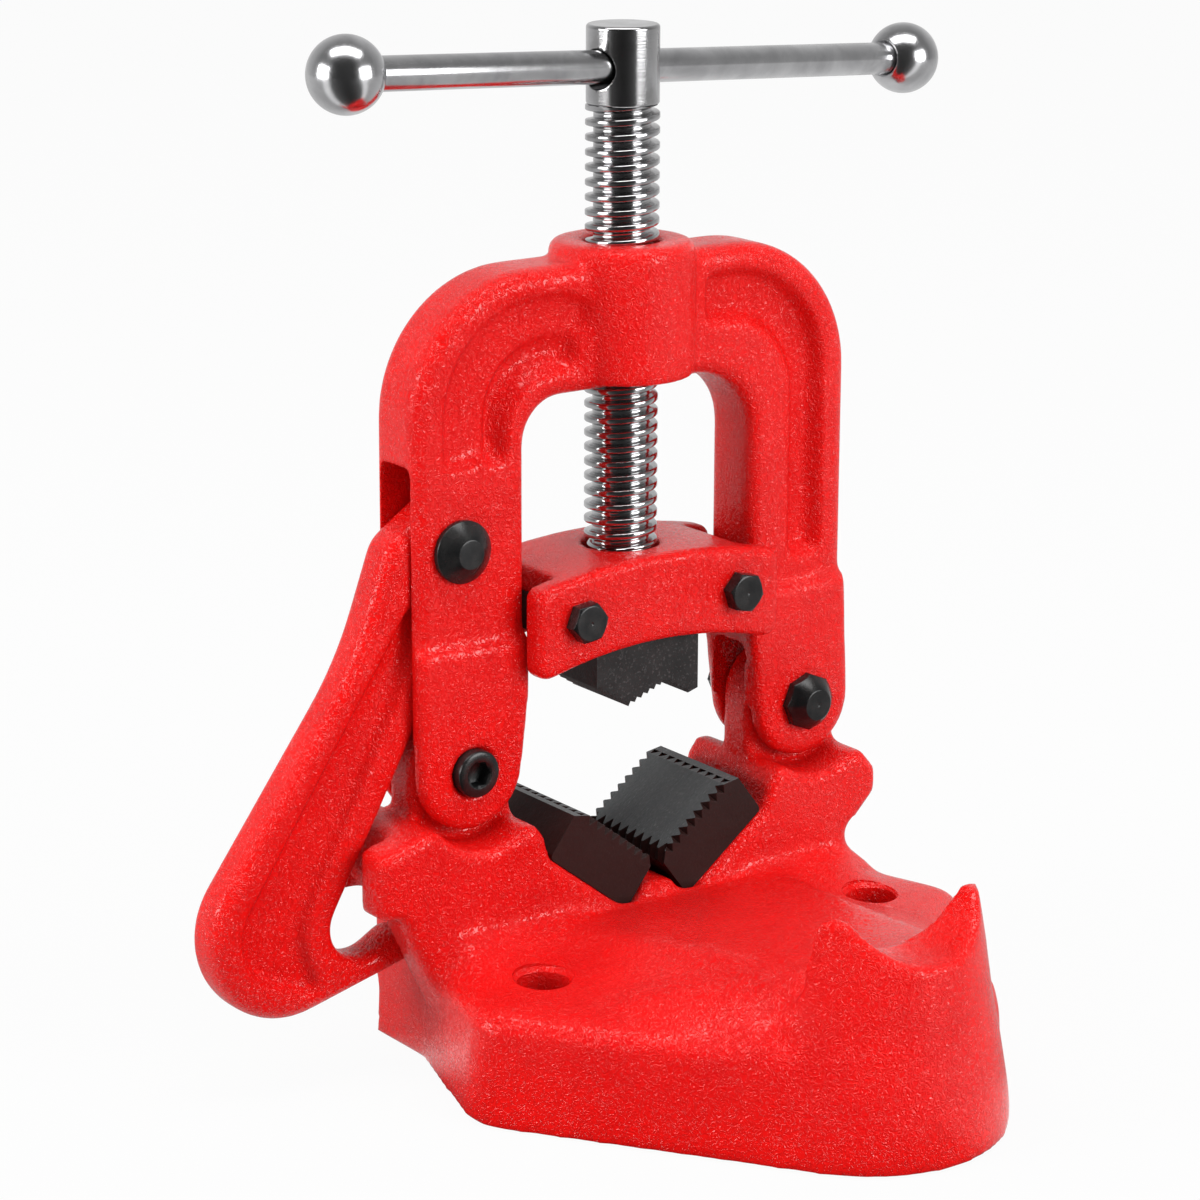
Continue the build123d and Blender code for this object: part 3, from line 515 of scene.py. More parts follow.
def lathe(outline: list[tuple], steps: int = 72, lift: float = 0.0, turns: int = 1) -> Thing:
    """Turn an outline about the Z axis.

    Args:
        outline: Radius and height of each point in millimetres.
        steps: Faces in one turn.
        lift: Rise in one turn, in millimetres.
        turns: Number of turns.

    Returns:
        The turned shell.
    """
    bpy.ops.object.select_all(action="DESELECT")
    bpy.ops.mesh.primitive_plane_add(size=MM, location=(outline[0][0] * MM, 0.0, outline[0][1] * MM))
    shell = bpy.context.active_object
    with editing(shell):
        bpy.ops.mesh.merge(type="CENTER")
        for (radius, height), (next_radius, next_height) in zip(outline, outline[1:]):
            step = ((next_radius - radius) * MM, 0.0, (next_height - height) * MM)
            bpy.ops.mesh.extrude_vertices_move(TRANSFORM_OT_translate={"value": step})
    bpy.ops.object.transform_apply(location=True, rotation=True, scale=True)
    modify(
        shell,
        "SCREW",
        angle=math.radians(360.0),
        screw_offset=lift * MM,
        iterations=turns,
        steps=steps,
        render_steps=steps,
        axis="Z",
        use_merge_vertices=True,
        merge_threshold=CLOSE,
    )
    return close_up(shell)


def prism(sides: int, across: float, low: float, high: float) -> Thing:
    """Upright prism with a flat at each side of the X axis.

    Args:
        sides: Number of sides.
        across: Distance across its flats in millimetres.
        low: Height of its foot.
        high: Height of its top.

    Returns:
        The prism.
    """
    bpy.ops.object.select_all(action="DESELECT")
    bpy.ops.mesh.primitive_cylinder_add(
        vertices=sides,
        radius=across * MM / 2 / math.cos(math.pi / sides),
        depth=(high - low) * MM,
        location=(0, 0, (high + low) * MM / 2),
        rotation=(0, 0, math.pi / 2),
    )
    bpy.ops.object.transform_apply(location=True, rotation=True, scale=True)
    return bpy.context.active_object


def ring_of(corners: list[tuple], fill: str) -> Thing:
    """Ring of edges through given corners.

    Args:
        corners: The corners in millimetres.
        fill: NGON for a face inside it, or NOTHING.

    Returns:
        The ring.
    """
    bpy.ops.object.select_all(action="DESELECT")
    bpy.ops.mesh.primitive_circle_add(vertices=len(corners), radius=MM, fill_type=fill)
    made = bpy.context.active_object
    for vertex, corner in zip(made.data.vertices, corners):
        vertex.co = Vector(corner) * MM
    return made


def slab(outline: list[tuple], left: float, right: float) -> Thing:
    """Solid between two upright planes across X.

    Args:
        outline: Y and height of each corner in millimetres.
        left: Where it starts on X.
        right: Where it ends.

    Returns:
        The solid.
    """
    made = ring_of([(left, *corner) for corner in outline], "NGON")
    with editing(made):
        bpy.ops.mesh.extrude_region_move(TRANSFORM_OT_translate={"value": ((right - left) * MM, 0, 0)})
    return close_up(made)


def wedge(corners: list[tuple]) -> Thing:
    """Convex solid through given corners.

    Args:
        corners: The corners in millimetres.

    Returns:
        The solid.
    """
    made = ring_of(corners, "NOTHING")
    with editing(made):
        bpy.ops.mesh.convex_hull()
    return close_up(made)


def round_corner(thing: Thing, across: float, height: float, radius: float) -> None:
    """Round the one edge of a slab that runs along Y at a given place.

    Args:
        thing: The slab.
        across: Where the edge is on X.
        height: Where it is on Z.
        radius: Its radius.
    """
    with editing(thing, lambda point: math.hypot(point.x - across, point.z - height) < 0.01):
        bpy.ops.mesh.bevel(offset=radius * MM, segments=14, affect="EDGES", clamp_overlap=True)


def halve(thing: Thing, point: tuple, way: tuple, snap: float = CLOSE) -> None:
    """Cut away the side of a solid that a plane faces, and close the cut.

    Args:
        thing: The solid.
        point: A point of the plane, in millimetres.
        way: The way the dropped side lies.
        snap: How near to the plane a vertex counts as on it, in metres.
    """
    with editing(thing):
        bpy.ops.mesh.bisect(
            plane_co=Vector(point) * MM, plane_no=way, use_fill=True, clear_outer=True, threshold=snap
        )


def carve(thing: Thing, tool: Thing, operation: str = "DIFFERENCE") -> None:
    """Cut one solid with another and drop the tool.

    Args:
        thing: The solid that stays.
        tool: The solid that cuts.
        operation: DIFFERENCE or INTERSECT.
    """
    modify(thing, "BOOLEAN", object=tool, operation=operation, solver="EXACT")
    bpy.data.objects.remove(tool)


def join(things: list[Thing]) -> Thing:
    """Gather several shells in one object.

    Args:
        things: The shells.

    Returns:
        The first of them, with the others in it.
    """
    bpy.ops.object.select_all(action="DESELECT")
    for thing in things:
        thing.select_set(True)
    bpy.context.view_layer.objects.active = things[0]
    bpy.ops.object.join()
    return things[0]


def move(thing: Thing, place: tuple = HERE, turn: tuple = HERE) -> Thing:
    """Turn a piece, then put it in its place, all in its mesh.

    Args:
        thing: The piece.
        place: Where its origin goes, in millimetres.
        turn: Turn about X, Y and Z in degrees.

    Returns:
        The piece.
    """
    only(thing)
    thing.location = Vector(place) * MM
    thing.rotation_euler = tuple(math.radians(angle) for angle in turn)
    bpy.ops.object.transform_apply(location=True, rotation=True, scale=True)
    return thing


def again(thing: Thing, place: tuple = HERE, turn: tuple = HERE) -> Thing:
    """Copy a piece with its own mesh and move the copy.

    Args:
        thing: The piece.
        place: Where the copy goes, in millimetres.
        turn: Turn of the copy in degrees.

    Returns:
        The copy.
    """
    copy = thing.copy()
    copy.data = thing.data.copy()
    bpy.context.collection.objects.link(copy)
    return move(copy, place, turn)


def repeat(one: Thing, spots: list[tuple]) -> Thing:
    """Copy a piece to several spots, drop the piece and join the copies.

    Args:
        one: The piece.
        spots: Place in millimetres and turn in degrees of each copy.

    Returns:
        The joined copies.
    """
    copies = [again(one, *spot) for spot in spots]
    bpy.data.objects.remove(one)
    return join(copies)


def break_edges(thing: Thing, width: float, angle: float = 30.0, segments: int = 2) -> Thing:
    """Round every edge sharper than an angle and shade the rest smooth.

    Args:
        thing: The piece.
        width: Width of the rounding in millimetres.
        angle: Smallest edge angle in degrees.
        segments: Faces across the rounding.

    Returns:
        The piece.
    """
    modify(
        thing,
        "BEVEL",
        width=width * MM,
        segments=segments,
        limit_method="ANGLE",
        angle_limit=math.radians(angle),
        use_clamp_overlap=True,
        miter_outer="MITER_ARC",
    )
    shade(thing, angle)
    return thing


def even_shading(thing: Thing) -> None:
    """Let the large faces lead the shading of the small ones between them."""
    modify(thing, "WEIGHTED_NORMAL", mode="FACE_AREA", weight=50, keep_sharp=True)


def shank(radius: float, tip: float, top: float, point: float) -> Thing:
    """Plain shank of a bolt or pin, upright.

    Args:
        radius: Its radius in millimetres.
        tip: Height of its free end.
        top: Height of the end in the head.
        point: Width of the cone at its free end.

    Returns:
        The shank.
    """
    outline = [(0.0, tip), (radius - point, tip), (radius, tip + point), (radius, top), (0.0, top)]
    return break_edges(lathe(outline), width=0.05)


def washer(bore: float, rim: float, low: float, high: float) -> Thing:
    """Flat upright ring with broken edges.

    Args:
        bore: Radius of its hole in millimetres.
        rim: Outer radius.
        low: Height of its foot.
        high: Height of its top.

    Returns:
        The ring.
    """
    ring = lathe([(bore, low), (rim, low), (rim, high), (bore, high), (bore, low)])
    return break_edges(ring, width=0.2, angle=40.0)


def dress(thing: Thing, node: str, body: Body, slot: Slot, *materials: Finish) -> None:
    """Name a finished piece, give it its finish and let it stand for its node.

    Args:
        thing: The piece.
        node: The CAD node that it stands for.
        body: The body it rides on.
        slot: The record's slot for its finish; not used.
        materials: Its finishes, the main one first.
    """
    thing.name = f"{node}_finished"
    thing.data.name = thing.name
    thing.data.materials.clear()
    for material in materials:
        thing.data.materials.append(material)
    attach(thing, body.value)
    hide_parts(node)
    LOG.info("%s: %d faces on %s", thing.name, len(thing.data.polygons), body.value)


def solid_copy(stock: Stock, node: str, flatten: bool = False) -> Thing:
    """Copy a CAD node's solid and merge its loose triangles.

    Args:
        stock: The CAD solids.
        node: Name of the node.
        flatten: Join the triangles of each flat face.

    Returns:
        The copy, free of any parent.
    """
    source = stock.nodes[node]
    copy = source.copy()
    copy.data = source.data.copy()
    for name in list(copy.keys()):
        del copy[name]
    bpy.context.collection.objects.link(copy)
    copy.parent = None
    copy.matrix_world = Matrix.Identity(4)
    with editing(copy):
        bpy.ops.mesh.remove_doubles(threshold=MERGE)
    if flatten:
        with editing(copy):
            bpy.ops.mesh.dissolve_limited(angle_limit=FLAT)
    return copy


@dataclass
class Casting:
    """One cast piece: its solid, softened as sand casting and thick paint leave it.

    A zone tells whether a point, in millimetres, is softened further, and by how many passes.
    """

    node: str
    body: Body
    voxel: float
    passes: int
    zones: tuple = ()
    smooth_to: float = 38.0

    def fill(self, piece: Thing) -> Thing:
        """Change the copy of the solid before it is softened."""
        return piece

    def soften(self, piece: Thing) -> None:
        """Soften all of the piece, and its zones further.

        Args:
            piece: The solid to soften.
        """
        modify(piece, "SMOOTH", factor=0.5, iterations=self.passes)
        for chosen, passes in self.zones:
            with editing(piece, chosen):
                bpy.ops.mesh.vertices_smooth(factor=0.5, repeat=passes)

    def build(self, stock: Stock) -> None:
        """Soften a copy of the solid and paint it.

        Args:
            stock: The CAD solids and the finishes.
        """
        piece = self.fill(solid_copy(stock, self.node))
        modify(piece, "REMESH", mode="VOXEL", voxel_size=self.voxel * MM, adaptivity=0.0)
        self.soften(piece)
        shade(piece, self.smooth_to)
        dress(piece, self.node, self.body, Slot.PAINT, stock.paint)


@dataclass
class BaseCasting(Casting):
    """Base casting: horns cut flat, front wall straight to the bench, flange rising to the shoulder."""

    zones: tuple = (
        (lambda point: -108.0 < point.y < -23.0 and abs(point.x) < 72.0 and point.z > 29.0, 26),
        (lambda point: abs(point.x) > 57.0 and point.y < -17.0 and 27.0 < point.z < 46.0, 16),
        (lambda point: point.z < 5.0, 8),
        (lambda point: point.y < -106.0 and 6.0 < point.z < 50.0, 20),
    )
    rest: tuple = (2.0, -104.0, 0.0)
    horn_top: float = 64.6
    clear: float = 90.0
    wall_from: float = -117.5
    wall_foot: tuple = (40.0, 2.0)
    wall_low: tuple = (38.6, 9.0)
    wall_high: tuple = (28.3, 68.0)
    reach: float = 70.0
    ramp: tuple = (
        (-16, 20), (-16, 39.5), (-20, 39.5), (-27, 35.8), (-34, 34), (-43, 32.9), (-60, 31.8), (-60, 20)
    )
    ramp_sides: tuple = ((-68.6, -30.0), (30.0, 64.5))
    swell_foot: float = 18.0
    swell_left: tuple = (
        (-35.0, -40.0, 36.5), (-25.0, -75.0, 42.0), (-18.0, -112.0, 48.0),
        (-46.0, -46.0, 31.8), (-58.0, -66.0, 31.6), (-38.0, -113.0, 31.6),
    )
    swell_right: tuple = (
        (37.0, -40.0, 36.5), (29.0, -75.0, 42.0), (22.0, -112.0, 48.0),
        (46.0, -46.0, 31.8), (59.0, -64.0, 31.6), (41.0, -113.0, 31.6),
    )
    hole_x: float = 56.0
    hole_y: float = 43.0
    hole_r: float = 7.0
    hole_top: float = 32.6
    hole_sink: float = 1.2
    hole_mouth: tuple = (-0.8, 0.4)
    drill_top: float = 45.0

    def fill(self, piece: Thing) -> Thing:
        """Trim the pipe rest and lay the sloped flange before the shoulder.

        Args:
            piece: The copy of the solid.

        Returns:
            The solid to soften.
        """
        rows = [(0, self.horn_top), (self.reach, self.horn_top), (self.reach, self.clear), (0, self.clear)]
        carve(piece, move(lathe(rows, 48), self.rest))
        outside = [(self.reach, self.wall_high[1]), (self.reach, self.wall_foot[1])]
        wall = lathe([self.wall_foot, self.wall_low, self.wall_high, *outside, self.wall_foot], 96)
        move(wall, self.rest)
        halve(wall, (0.0, self.wall_from, 0.0), (0.0, 1.0, 0.0))
        carve(piece, wall)
        ramps = [slab(self.ramp, *side) for side in self.ramp_sides]
        swells = [
            wedge([*tops, *((x, y, self.swell_foot) for x, y, _ in tops)])
            for tops in (self.swell_left, self.swell_right)
        ]
        return join([piece, *ramps, *swells])

    def soften(self, piece: Thing) -> None:
        """Soften the piece, then cut the bench holes clean.

        Args:
            piece: The solid to soften.
        """
        super().soften(piece)
        wide = self.hole_r + self.hole_sink
        low, high = self.hole_mouth
        bore = [(0, -PAST), (self.hole_r, -PAST), (self.hole_r, self.hole_top + low)]
        mouth = [(wide, self.hole_top + high), (wide, self.drill_top), (0, self.drill_top)]
        for side in (-1, 1):
            carve(piece, move(lathe([*bore, *mouth], 48), (side * self.hole_x, -self.hole_y, 0.0)))


@dataclass
class Yoke(Casting):
    """Yoke casting: its wide left channel runs on to the boss and to the edge of the deep one.

    A cut is the outer and the inner wall, each by its distance out, distance up and corner
    radius, then the height of its foot, its distance from the middle plane and its end on X.
    """

    zones: tuple = (
        (lambda point: -36.0 < point.x < -17.0 and abs(point.y) > 3.0 and 180.0 < point.z < 207.0, 10),
    )
    half: float = 37.6
    crown: float = 179.0
    boss_r: float = 20.0
    boss_rows: tuple = (100.0, 230.0)
    face: float = 12.0
    cuts: tuple = (
        ((24.0, 25.2, 27.0), (12.6, 16.5, 20.0), 166.0, 7.3, -10.0),
        ((11.4, 15.0, 18.5), (9.0, 9.6, 16.5), 167.5, 4.4, -27.0),
    )

    def band(self, outer: tuple, inner: tuple, foot: float, depth: float, stop: float) -> Thing:
        """Cutter that follows the left shoulder of the arch.

        Args:
            outer: Distance out, distance up and corner radius of its outer wall.
            inner: The same of its inner wall.
            foot: Height of its foot.
            depth: How far from the middle plane it stops.
            stop: Where it ends on X before the boss.

        Returns:
            The cutter.
        """
        shapes = []
        for out, up, corner in (outer, inner):
            left, top = -self.half - out, self.crown + up
            wall = [(depth, foot), (depth, top), (self.face, top), (self.face, foot)]
            shapes.append(slab(wall, left, stop))
            round_corner(shapes[-1], left, top, corner)
        low, high = self.boss_rows
        boss = lathe([(0, low), (self.boss_r, low), (self.boss_r, high), (0, high)], 64)
        carve(shapes[0], shapes[1])
        carve(shapes[0], boss)
        return shapes[0]

    def fill(self, piece: Thing) -> Thing:
        """Cut the ridge between the left channels down, on both faces.

        Args:
            piece: The copy of the solid.

        Returns:
            The solid to soften.
        """
        for cut in self.cuts:
            tool = self.band(*cut)
            carve(piece, again(tool))
            tool.scale.y = -1.0
            carve(piece, close_up(move(tool)))
        return piece


@dataclass
class Jaw:
    """One toothed jaw: its solid with broken edges and a finish for each kind of face."""

    node: str
    body: Body
    edge: float
    grip_way: tuple
    land_way: tuple
    facing: float = 0.9

    def build(self, stock: Stock) -> None:
        """Break the edges of a copy of the solid and finish its faces.

        Args:
            stock: The CAD solids and the finishes.
        """
        piece = break_edges(solid_copy(stock, self.node, flatten=True), self.edge, angle=28.0)
        even_shading(piece)
        dress(piece, self.node, self.body, Slot.JAW, stock.grip, stock.brown, stock.land)
        grip, land = Vector(self.grip_way).normalized(), Vector(self.land_way).normalized()
        for face in piece.data.polygons:
            face.material_index = 1
            if face.normal.dot(grip) > self.facing:
                face.material_index = 0
            if face.normal.dot(land) > self.facing:
                face.material_index = 2


@dataclass
class HexFastener:
    """Sizes and shapes shared by bolts and nuts with six flats."""

    across: float
    low: float
    high: float
    shank: float
    corner: float = 0.62
    crown: float = 0.47
    slope: float = 0.55
    dimple_r: float = 0.45
    dimple_deep: float = 0.3
    sink_r: float = 1.6
    sink_deep: float = 0.6

    def blank(self, both_ends: bool) -> Thing:
        """Hexagon whose corners are turned off by a cone.

        Args:
            both_ends: Turn the corners off at the foot too, as on a nut.

        Returns:
            The blank.
        """
        outer, crown = self.across * self.corner, self.across * self.crown
        drop = (outer - crown) * self.slope
        foot = [(crown, self.low), (outer, self.low + drop)] if both_ends else [(outer, self.low)]
        top = [(outer, self.high - drop), (crown, self.high), (self.dimple_r, self.high)]
        cone = lathe([(0.0, self.low), *foot, *top, (0.0, self.high - self.dimple_deep)])
        blank = prism(6, self.across, self.low - PAST, self.high + PAST)
        carve(blank, cone, "INTERSECT")
        return blank

    def nut(self) -> Thing:
        """Nut on the Z axis, with a countersunk bore.

        Returns:
            The nut.
        """
        nut = self.blank(True)
        mouth = self.shank + self.sink_r
        foot = [(0.0, self.low - PAST), (mouth, self.low - PAST), (self.shank, self.low + self.sink_deep)]
        top = [(self.shank, self.high - self.sink_deep), (mouth, self.high + PAST), (0.0, self.high + PAST)]
        carve(nut, lathe([*foot, *top]))
        return break_edges(nut, width=0.18, angle=25.0)

    def bolt(self, tip: float) -> Thing:
        """Bolt on the Z axis, its head up and the end of its shank at a given height."""
        head = break_edges(self.blank(False), width=0.2, angle=25.0)
        return join([head, shank(self.shank, tip, self.low + 0.2, 0.5)])


@dataclass
class CapScrew:
    """Cap screw with a six-sided socket in its round head."""

    head: float
    low: float
    high: float
    socket: float
    socket_deep: float
    shank: float
    shoulder: tuple = ((0.0, -0.8), (-0.25, -0.3), (-0.8, 0.0))
    foot_edge: float = 0.2
    sink_deep: float = 0.45
    sink_out: float = 0.35
    sink_wide: float = 0.8

    def screw(self, tip: float) -> Thing:
        """Screw with its head up.

        Args:
            tip: Height of the end of the shank.

        Returns:
            The screw on the Z axis.
        """
        radius = self.head / 2
        edge = self.foot_edge
        foot = [(0.0, self.low), (radius - edge, self.low), (radius, self.low + edge)]
        shoulder = [(radius + out, self.high + up) for out, up in self.shoulder]
        screw = lathe([*foot, *shoulder, (0.0, self.high)], 96)
        carve(screw, prism(6, self.socket, self.high - self.socket_deep, self.high + PAST))
        mouth = self.socket / 2 / math.cos(math.pi / 6) + self.sink_out
        bottom, over = self.high - self.sink_deep, self.high + 0.1
        carve(screw, lathe([(0.0, bottom), (mouth - self.sink_wide, bottom), (mouth, over), (0.0, over)]))
        break_edges(screw, width=0.12)
        return join([screw, shank(self.shank, tip, self.low + 0.2, 0.6)])


@dataclass
class HingeBolt:
    """Hinge pin with an eight-sided coned head, its washer and its nut."""

    place: tuple = (56.4, 0.0, 81.3)
    face: float = 12.0
    head: float = 8.2
    rim: float = 2.0
    tall: float = 6.0
    flat: float = 4.35
    dimple_r: float = 0.6
    dimple_deep: float = 0.25
    shank: float = 5.0
    end: float = 23.1
    washer_t: float = 1.6
    washer_r: float = 9.0
    play: float = 0.2
    nut_across: float = 17.0
    nut_h: float = 8.0

    def pin(self) -> Thing:
        """Turn the pin, head up, and mill eight flats on its rim.

        Returns:
            The pin on the Z axis.
        """
        top, wide = self.face + self.tall, self.head + 0.02
        cone = [(wide, self.face + self.rim), (self.flat, top), (self.dimple_r, top)]
        head = lathe([(0.0, self.face), (wide, self.face), *cone, (0.0, top - self.dimple_deep)], 96)
        flats = prism(8, 2 * self.head * math.cos(math.pi / 8), self.face - PAST, top + PAST)
        carve(head, flats, "INTERSECT")
        break_edges(head, width=0.22, angle=22.0)
        return join([head, shank(self.shank, -self.end, self.face + 0.3, 0.8)])

    def build(self, stock: Stock) -> None:
        """Make pin, washer and nut.

        Args:
            stock: The finishes.
        """
        back = -self.face - self.washer_t
        for node, piece in [
            ("hinge_pin", self.pin()),
            ("hinge_pin_washer", washer(self.shank + self.play, self.washer_r, back, -self.face)),
            ("hinge_pin_nut", HexFastener(self.nut_across, back - self.nut_h, back, self.shank).nut()),
        ]:
            dress(move(piece, self.place, FRONT), node, Body.YOKE, Slot.OXIDE, stock.oxide)


@dataclass
class LatchPin:
    """Latch pin with a coned round head, its washer and its clip."""

    place: tuple = (-59.0, 0.0, 142.0)
    face: float = 10.0
    head: float = 8.5
    rim: float = 1.6
    tall: float = 5.0
    flat: float = 3.95
    shank: float = 5.0
    end: float = 14.35
    point: float = 0.6
    groove: float = 4.2
    groove_near: float = 11.6
    groove_far: float = 12.9
    washer_t: float = 1.6
    washer_r: float = 9.0
    play: float = 0.2

    def pin(self) -> Thing:
        """Turn the pin, head up.

        Returns:
            The pin on the Z axis.
        """
        top, wide = self.face + self.tall, self.shank
        tip = [(0.0, -self.end), (wide - self.point, -self.end), (wide, self.point - self.end)]
        groove = [(self.groove, -self.groove_far), (self.groove, -self.groove_near)]
        head = [(self.head, self.face), (self.head, self.face + self.rim), (self.flat, top), (0.0, top)]
        body = [(wide, -self.groove_far), *groove, (wide, -self.groove_near), (wide, self.face)]
        return break_edges(lathe([*tip, *body, *head], 96), width=0.2, angle=25.0)

    def build(self, stock: Stock) -> None:
        """Make pin, washer and clip.

        Args:
            stock: The CAD solids and the finishes.
        """
        pin = self.pin()
        ring = washer(self.shank + self.play, self.washer_r, -self.face - self.washer_t, -self.face)
        clip = break_edges(solid_copy(stock, "latch_pin_clip", flatten=True), width=0.15, angle=40.0)
        for node, piece in [
            ("latch_pin", move(pin, self.place, FRONT)),
            ("latch_pin_washer", move(ring, self.place, FRONT)),
            ("latch_pin_clip", clip),
        ]:
            dress(piece, node, Body.YOKE, Slot.OXIDE, stock.oxide)


@dataclass
class CrossBolt:
    """Cap screw let into the front cheek, and its nut at the back."""

    place: tuple = (-56.4, 0.0, 81.3)
    head: float = 13.0
    low: float = 9.5
    high: float = 14.5
    socket: float = 6.4
    socket_deep: float = 4.0
    shank: float = 4.0
    end: float = 20.0
    nut_across: float = 13.0
    nut_face: float = 12.0
    nut_h: float = 6.5

    def build(self, stock: Stock) -> None:
        """Make bolt and nut.

        Args:
            stock: The finishes.
        """
        cap = CapScrew(self.head, self.low, self.high, self.socket, self.socket_deep, self.shank)
        nut = HexFastener(self.nut_across, -self.nut_face - self.nut_h, -self.nut_face, self.shank)
        for node, piece in [("cross_bolt", cap.screw(-self.end)), ("cross_bolt_nut", nut.nut())]:
            dress(move(piece, self.place, FRONT), node, Body.YOKE, Slot.OXIDE, stock.oxide)


@dataclass
class LowerJawScrews:
    """Four cap screws that hold the lower jaws from below."""

    x: float = 23.51
    y: float = 10.0
    low: float = 24.0
    seat: float = 30.0
    head: float = 10.0
    socket: float = 5.0
    socket_deep: float = 3.0
    shank: float = 3.0
    tip: float = 53.8

    def build(self, stock: Stock) -> None:
        """Make one screw, turn it head down and copy it to its four places.

        Args:
            stock: The finishes.
        """
        cap = CapScrew(self.head, -self.seat, -self.low, self.socket, self.socket_deep, self.shank)
        places = [(side * self.x, end * self.y, 0.0) for side in (-1, 1) for end in (-1, 1)]
        screws = repeat(cap.screw(-self.tip), [(place, (180.0, 0.0, 0.0)) for place in places])
        dress(screws, "lower_jaw_screws", Body.BASE, Slot.OXIDE, stock.oxide)


@dataclass
class JawBolts:
    """Two bolts through the holder and the upper jaw, with their nuts."""

    x: float = 26.3
    z: float = 120.0
    face: float = 19.5
    across: float = 10.0
    head_h: float = 4.0
    nut_h: float = 5.0
    shank: float = 3.0
    end: float = 26.0
    turns: tuple = ((-1, 8.0), (1, -12.0))

    def build(self, stock: Stock) -> None:
        """Make one bolt and one nut and copy each to its two places.

        Args:
            stock: The finishes.
        """
        bolt = HexFastener(self.across, self.face, self.face + self.head_h, self.shank).bolt(-self.end)
        nut = HexFastener(self.across, -self.face - self.nut_h, -self.face, self.shank).nut()
        for one, node in [(bolt, "jaw_bolts"), (nut, "jaw_bolt_nuts")]:
            spots = [((side * self.x, 0.0, self.z), (90.0, -turn, 0.0)) for side, turn in self.turns]
            dress(repeat(one, spots), node, Body.HOLDER, Slot.OXIDE, stock.oxide)


@dataclass
class MainScrew:
    """Screw with its thread, drilled head and journal, and the rings on the journal.

    The flank is half of one ridge: height above the ridge's foot, and share of its depth. A ring
    is its node, bore, rim, foot and top. The runout is the cone between collar and thread: how far
    it narrows, and how far its foot and its top lie from the thread's end.
    """

    outer: float = 10.0
    root: float = 7.8
    pitch: float = 4.0
    first: float = 128.2
    thread_low: float = 133.95
    thread_top: float = 253.3
    thread_snap: float = 1e-4
    flank: tuple = (
        (0.0, 0.0), (1.1, 0.0), (1.27, 0.09), (1.42, 0.32), (1.56, 0.68), (1.74, 0.90), (1.98, 0.99)
    )
    crest: float = 2.55
    head: float = 9.8
    head_low: float = 253.1
    head_top: float = 274.3
    head_edge: float = 1.1
    head_rows: int = 24
    hole: float = 5.5
    hole_half: float = 15.0
    collar: float = 9.3
    foot: float = 131.5
    journal: float = 7.0
    groove: float = 6.0
    groove_low: float = 120.9
    groove_high: float = 122.4
    tip: float = 118.35
    point: float = 0.6
    collar_edge: float = 0.5
    runout: tuple = (0.8, 0.6, 0.2)
    thrust_ring: tuple = ("thrust_washer", 7.2, 10.0, 130.0, 131.5)
    dark_rings: tuple = (
        ("screw_retaining_washer", 7.2, 11.0, 122.35, 123.95),
        ("screw_retaining_ring", 6.05, 10.0, 120.95, 122.35),
    )

    def thread(self) -> Thing:
        """Wind one pitch of profile up the axis, then cut both ends square.

        Returns:
            The ridge.
        """
        deep = self.outer - self.root
        far_side = [(2 * self.crest - up, out) for up, out in reversed(self.flank[1:])]
        rise = [(up, out) for up, out in [*self.flank, *far_side] if up < self.pitch - 0.01]
        outline = [(self.root + out * deep, self.first + up) for up, out in [*rise, (self.pitch, 0.0)]]
        turns = math.ceil((self.thread_top - self.first) / self.pitch) + 2
        ridge = lathe(outline, 60, self.pitch, turns)
        for height, way in [(self.thread_low, -1.0), (self.thread_top, 1.0)]:
            halve(ridge, (0.0, 0.0, height), (0.0, 0.0, way), self.thread_snap)
        shade(close_up(ridge), 50.0)
        return ridge

    def top(self) -> Thing:
        """Turn the head, round its rims and drill it for the handle bar.

        Returns:
            The head.
        """
        step = (self.head_top - self.head_low) / self.head_rows
        side = [(self.head, self.head_low + step * row) for row in range(self.head_rows + 1)]
        head = lathe([(0.0, self.head_low), *side, (0.0, self.head_top)], 128)
        break_edges(head, self.head_edge, angle=60.0, segments=5)
        half = self.hole_half
        drill = lathe([(0.0, -half), (self.hole, -half), (self.hole, half), (0.0, half)], 96)
        carve(head, move(drill, (0.0, 0.0, BAR_Z), (0.0, 90.0, BAR_YAW)))
        even_shading(break_edges(head, width=0.2, angle=38.0))
        return head

    def foot_end(self) -> Thing:
        """Turn the collar under the thread and the journal with its ring groove.

        Returns:
            The foot of the screw.
        """
        journal, collar, top = self.journal, self.collar, self.thread_low
        tip = [(0.0, self.tip), (journal - self.point, self.tip), (journal, self.tip + self.point)]
        groove = [(self.groove, self.groove_low), (self.groove, self.groove_high)]
        neck = [(journal, self.groove_low), *groove, (journal, self.groove_high), (journal, self.foot)]
        lower = [(collar - self.collar_edge, self.foot), (collar, self.foot + self.collar_edge)]
        narrow, low, high = self.runout
        upper = [(collar, top - low), (collar - narrow, top + high), (0.0, top + high)]
        return break_edges(lathe([*tip, *neck, *lower, *upper]), width=0.15)

    def build(self, stock: Stock) -> None:
        """Make the screw and the three rings on its journal.

        Args:
            stock: The finishes.
        """
        screw = join([self.thread(), self.top(), self.foot_end()])
        dress(screw, "main_screw", Body.SCREW, Slot.SCREW, stock.turned)
        node, *sizes = self.thrust_ring
        dress(washer(*sizes), node, Body.SCREW, Slot.SCREW, stock.turned)
        for node, *sizes in self.dark_rings:
            dress(washer(*sizes), node, Body.SCREW, Slot.OXIDE, stock.oxide)


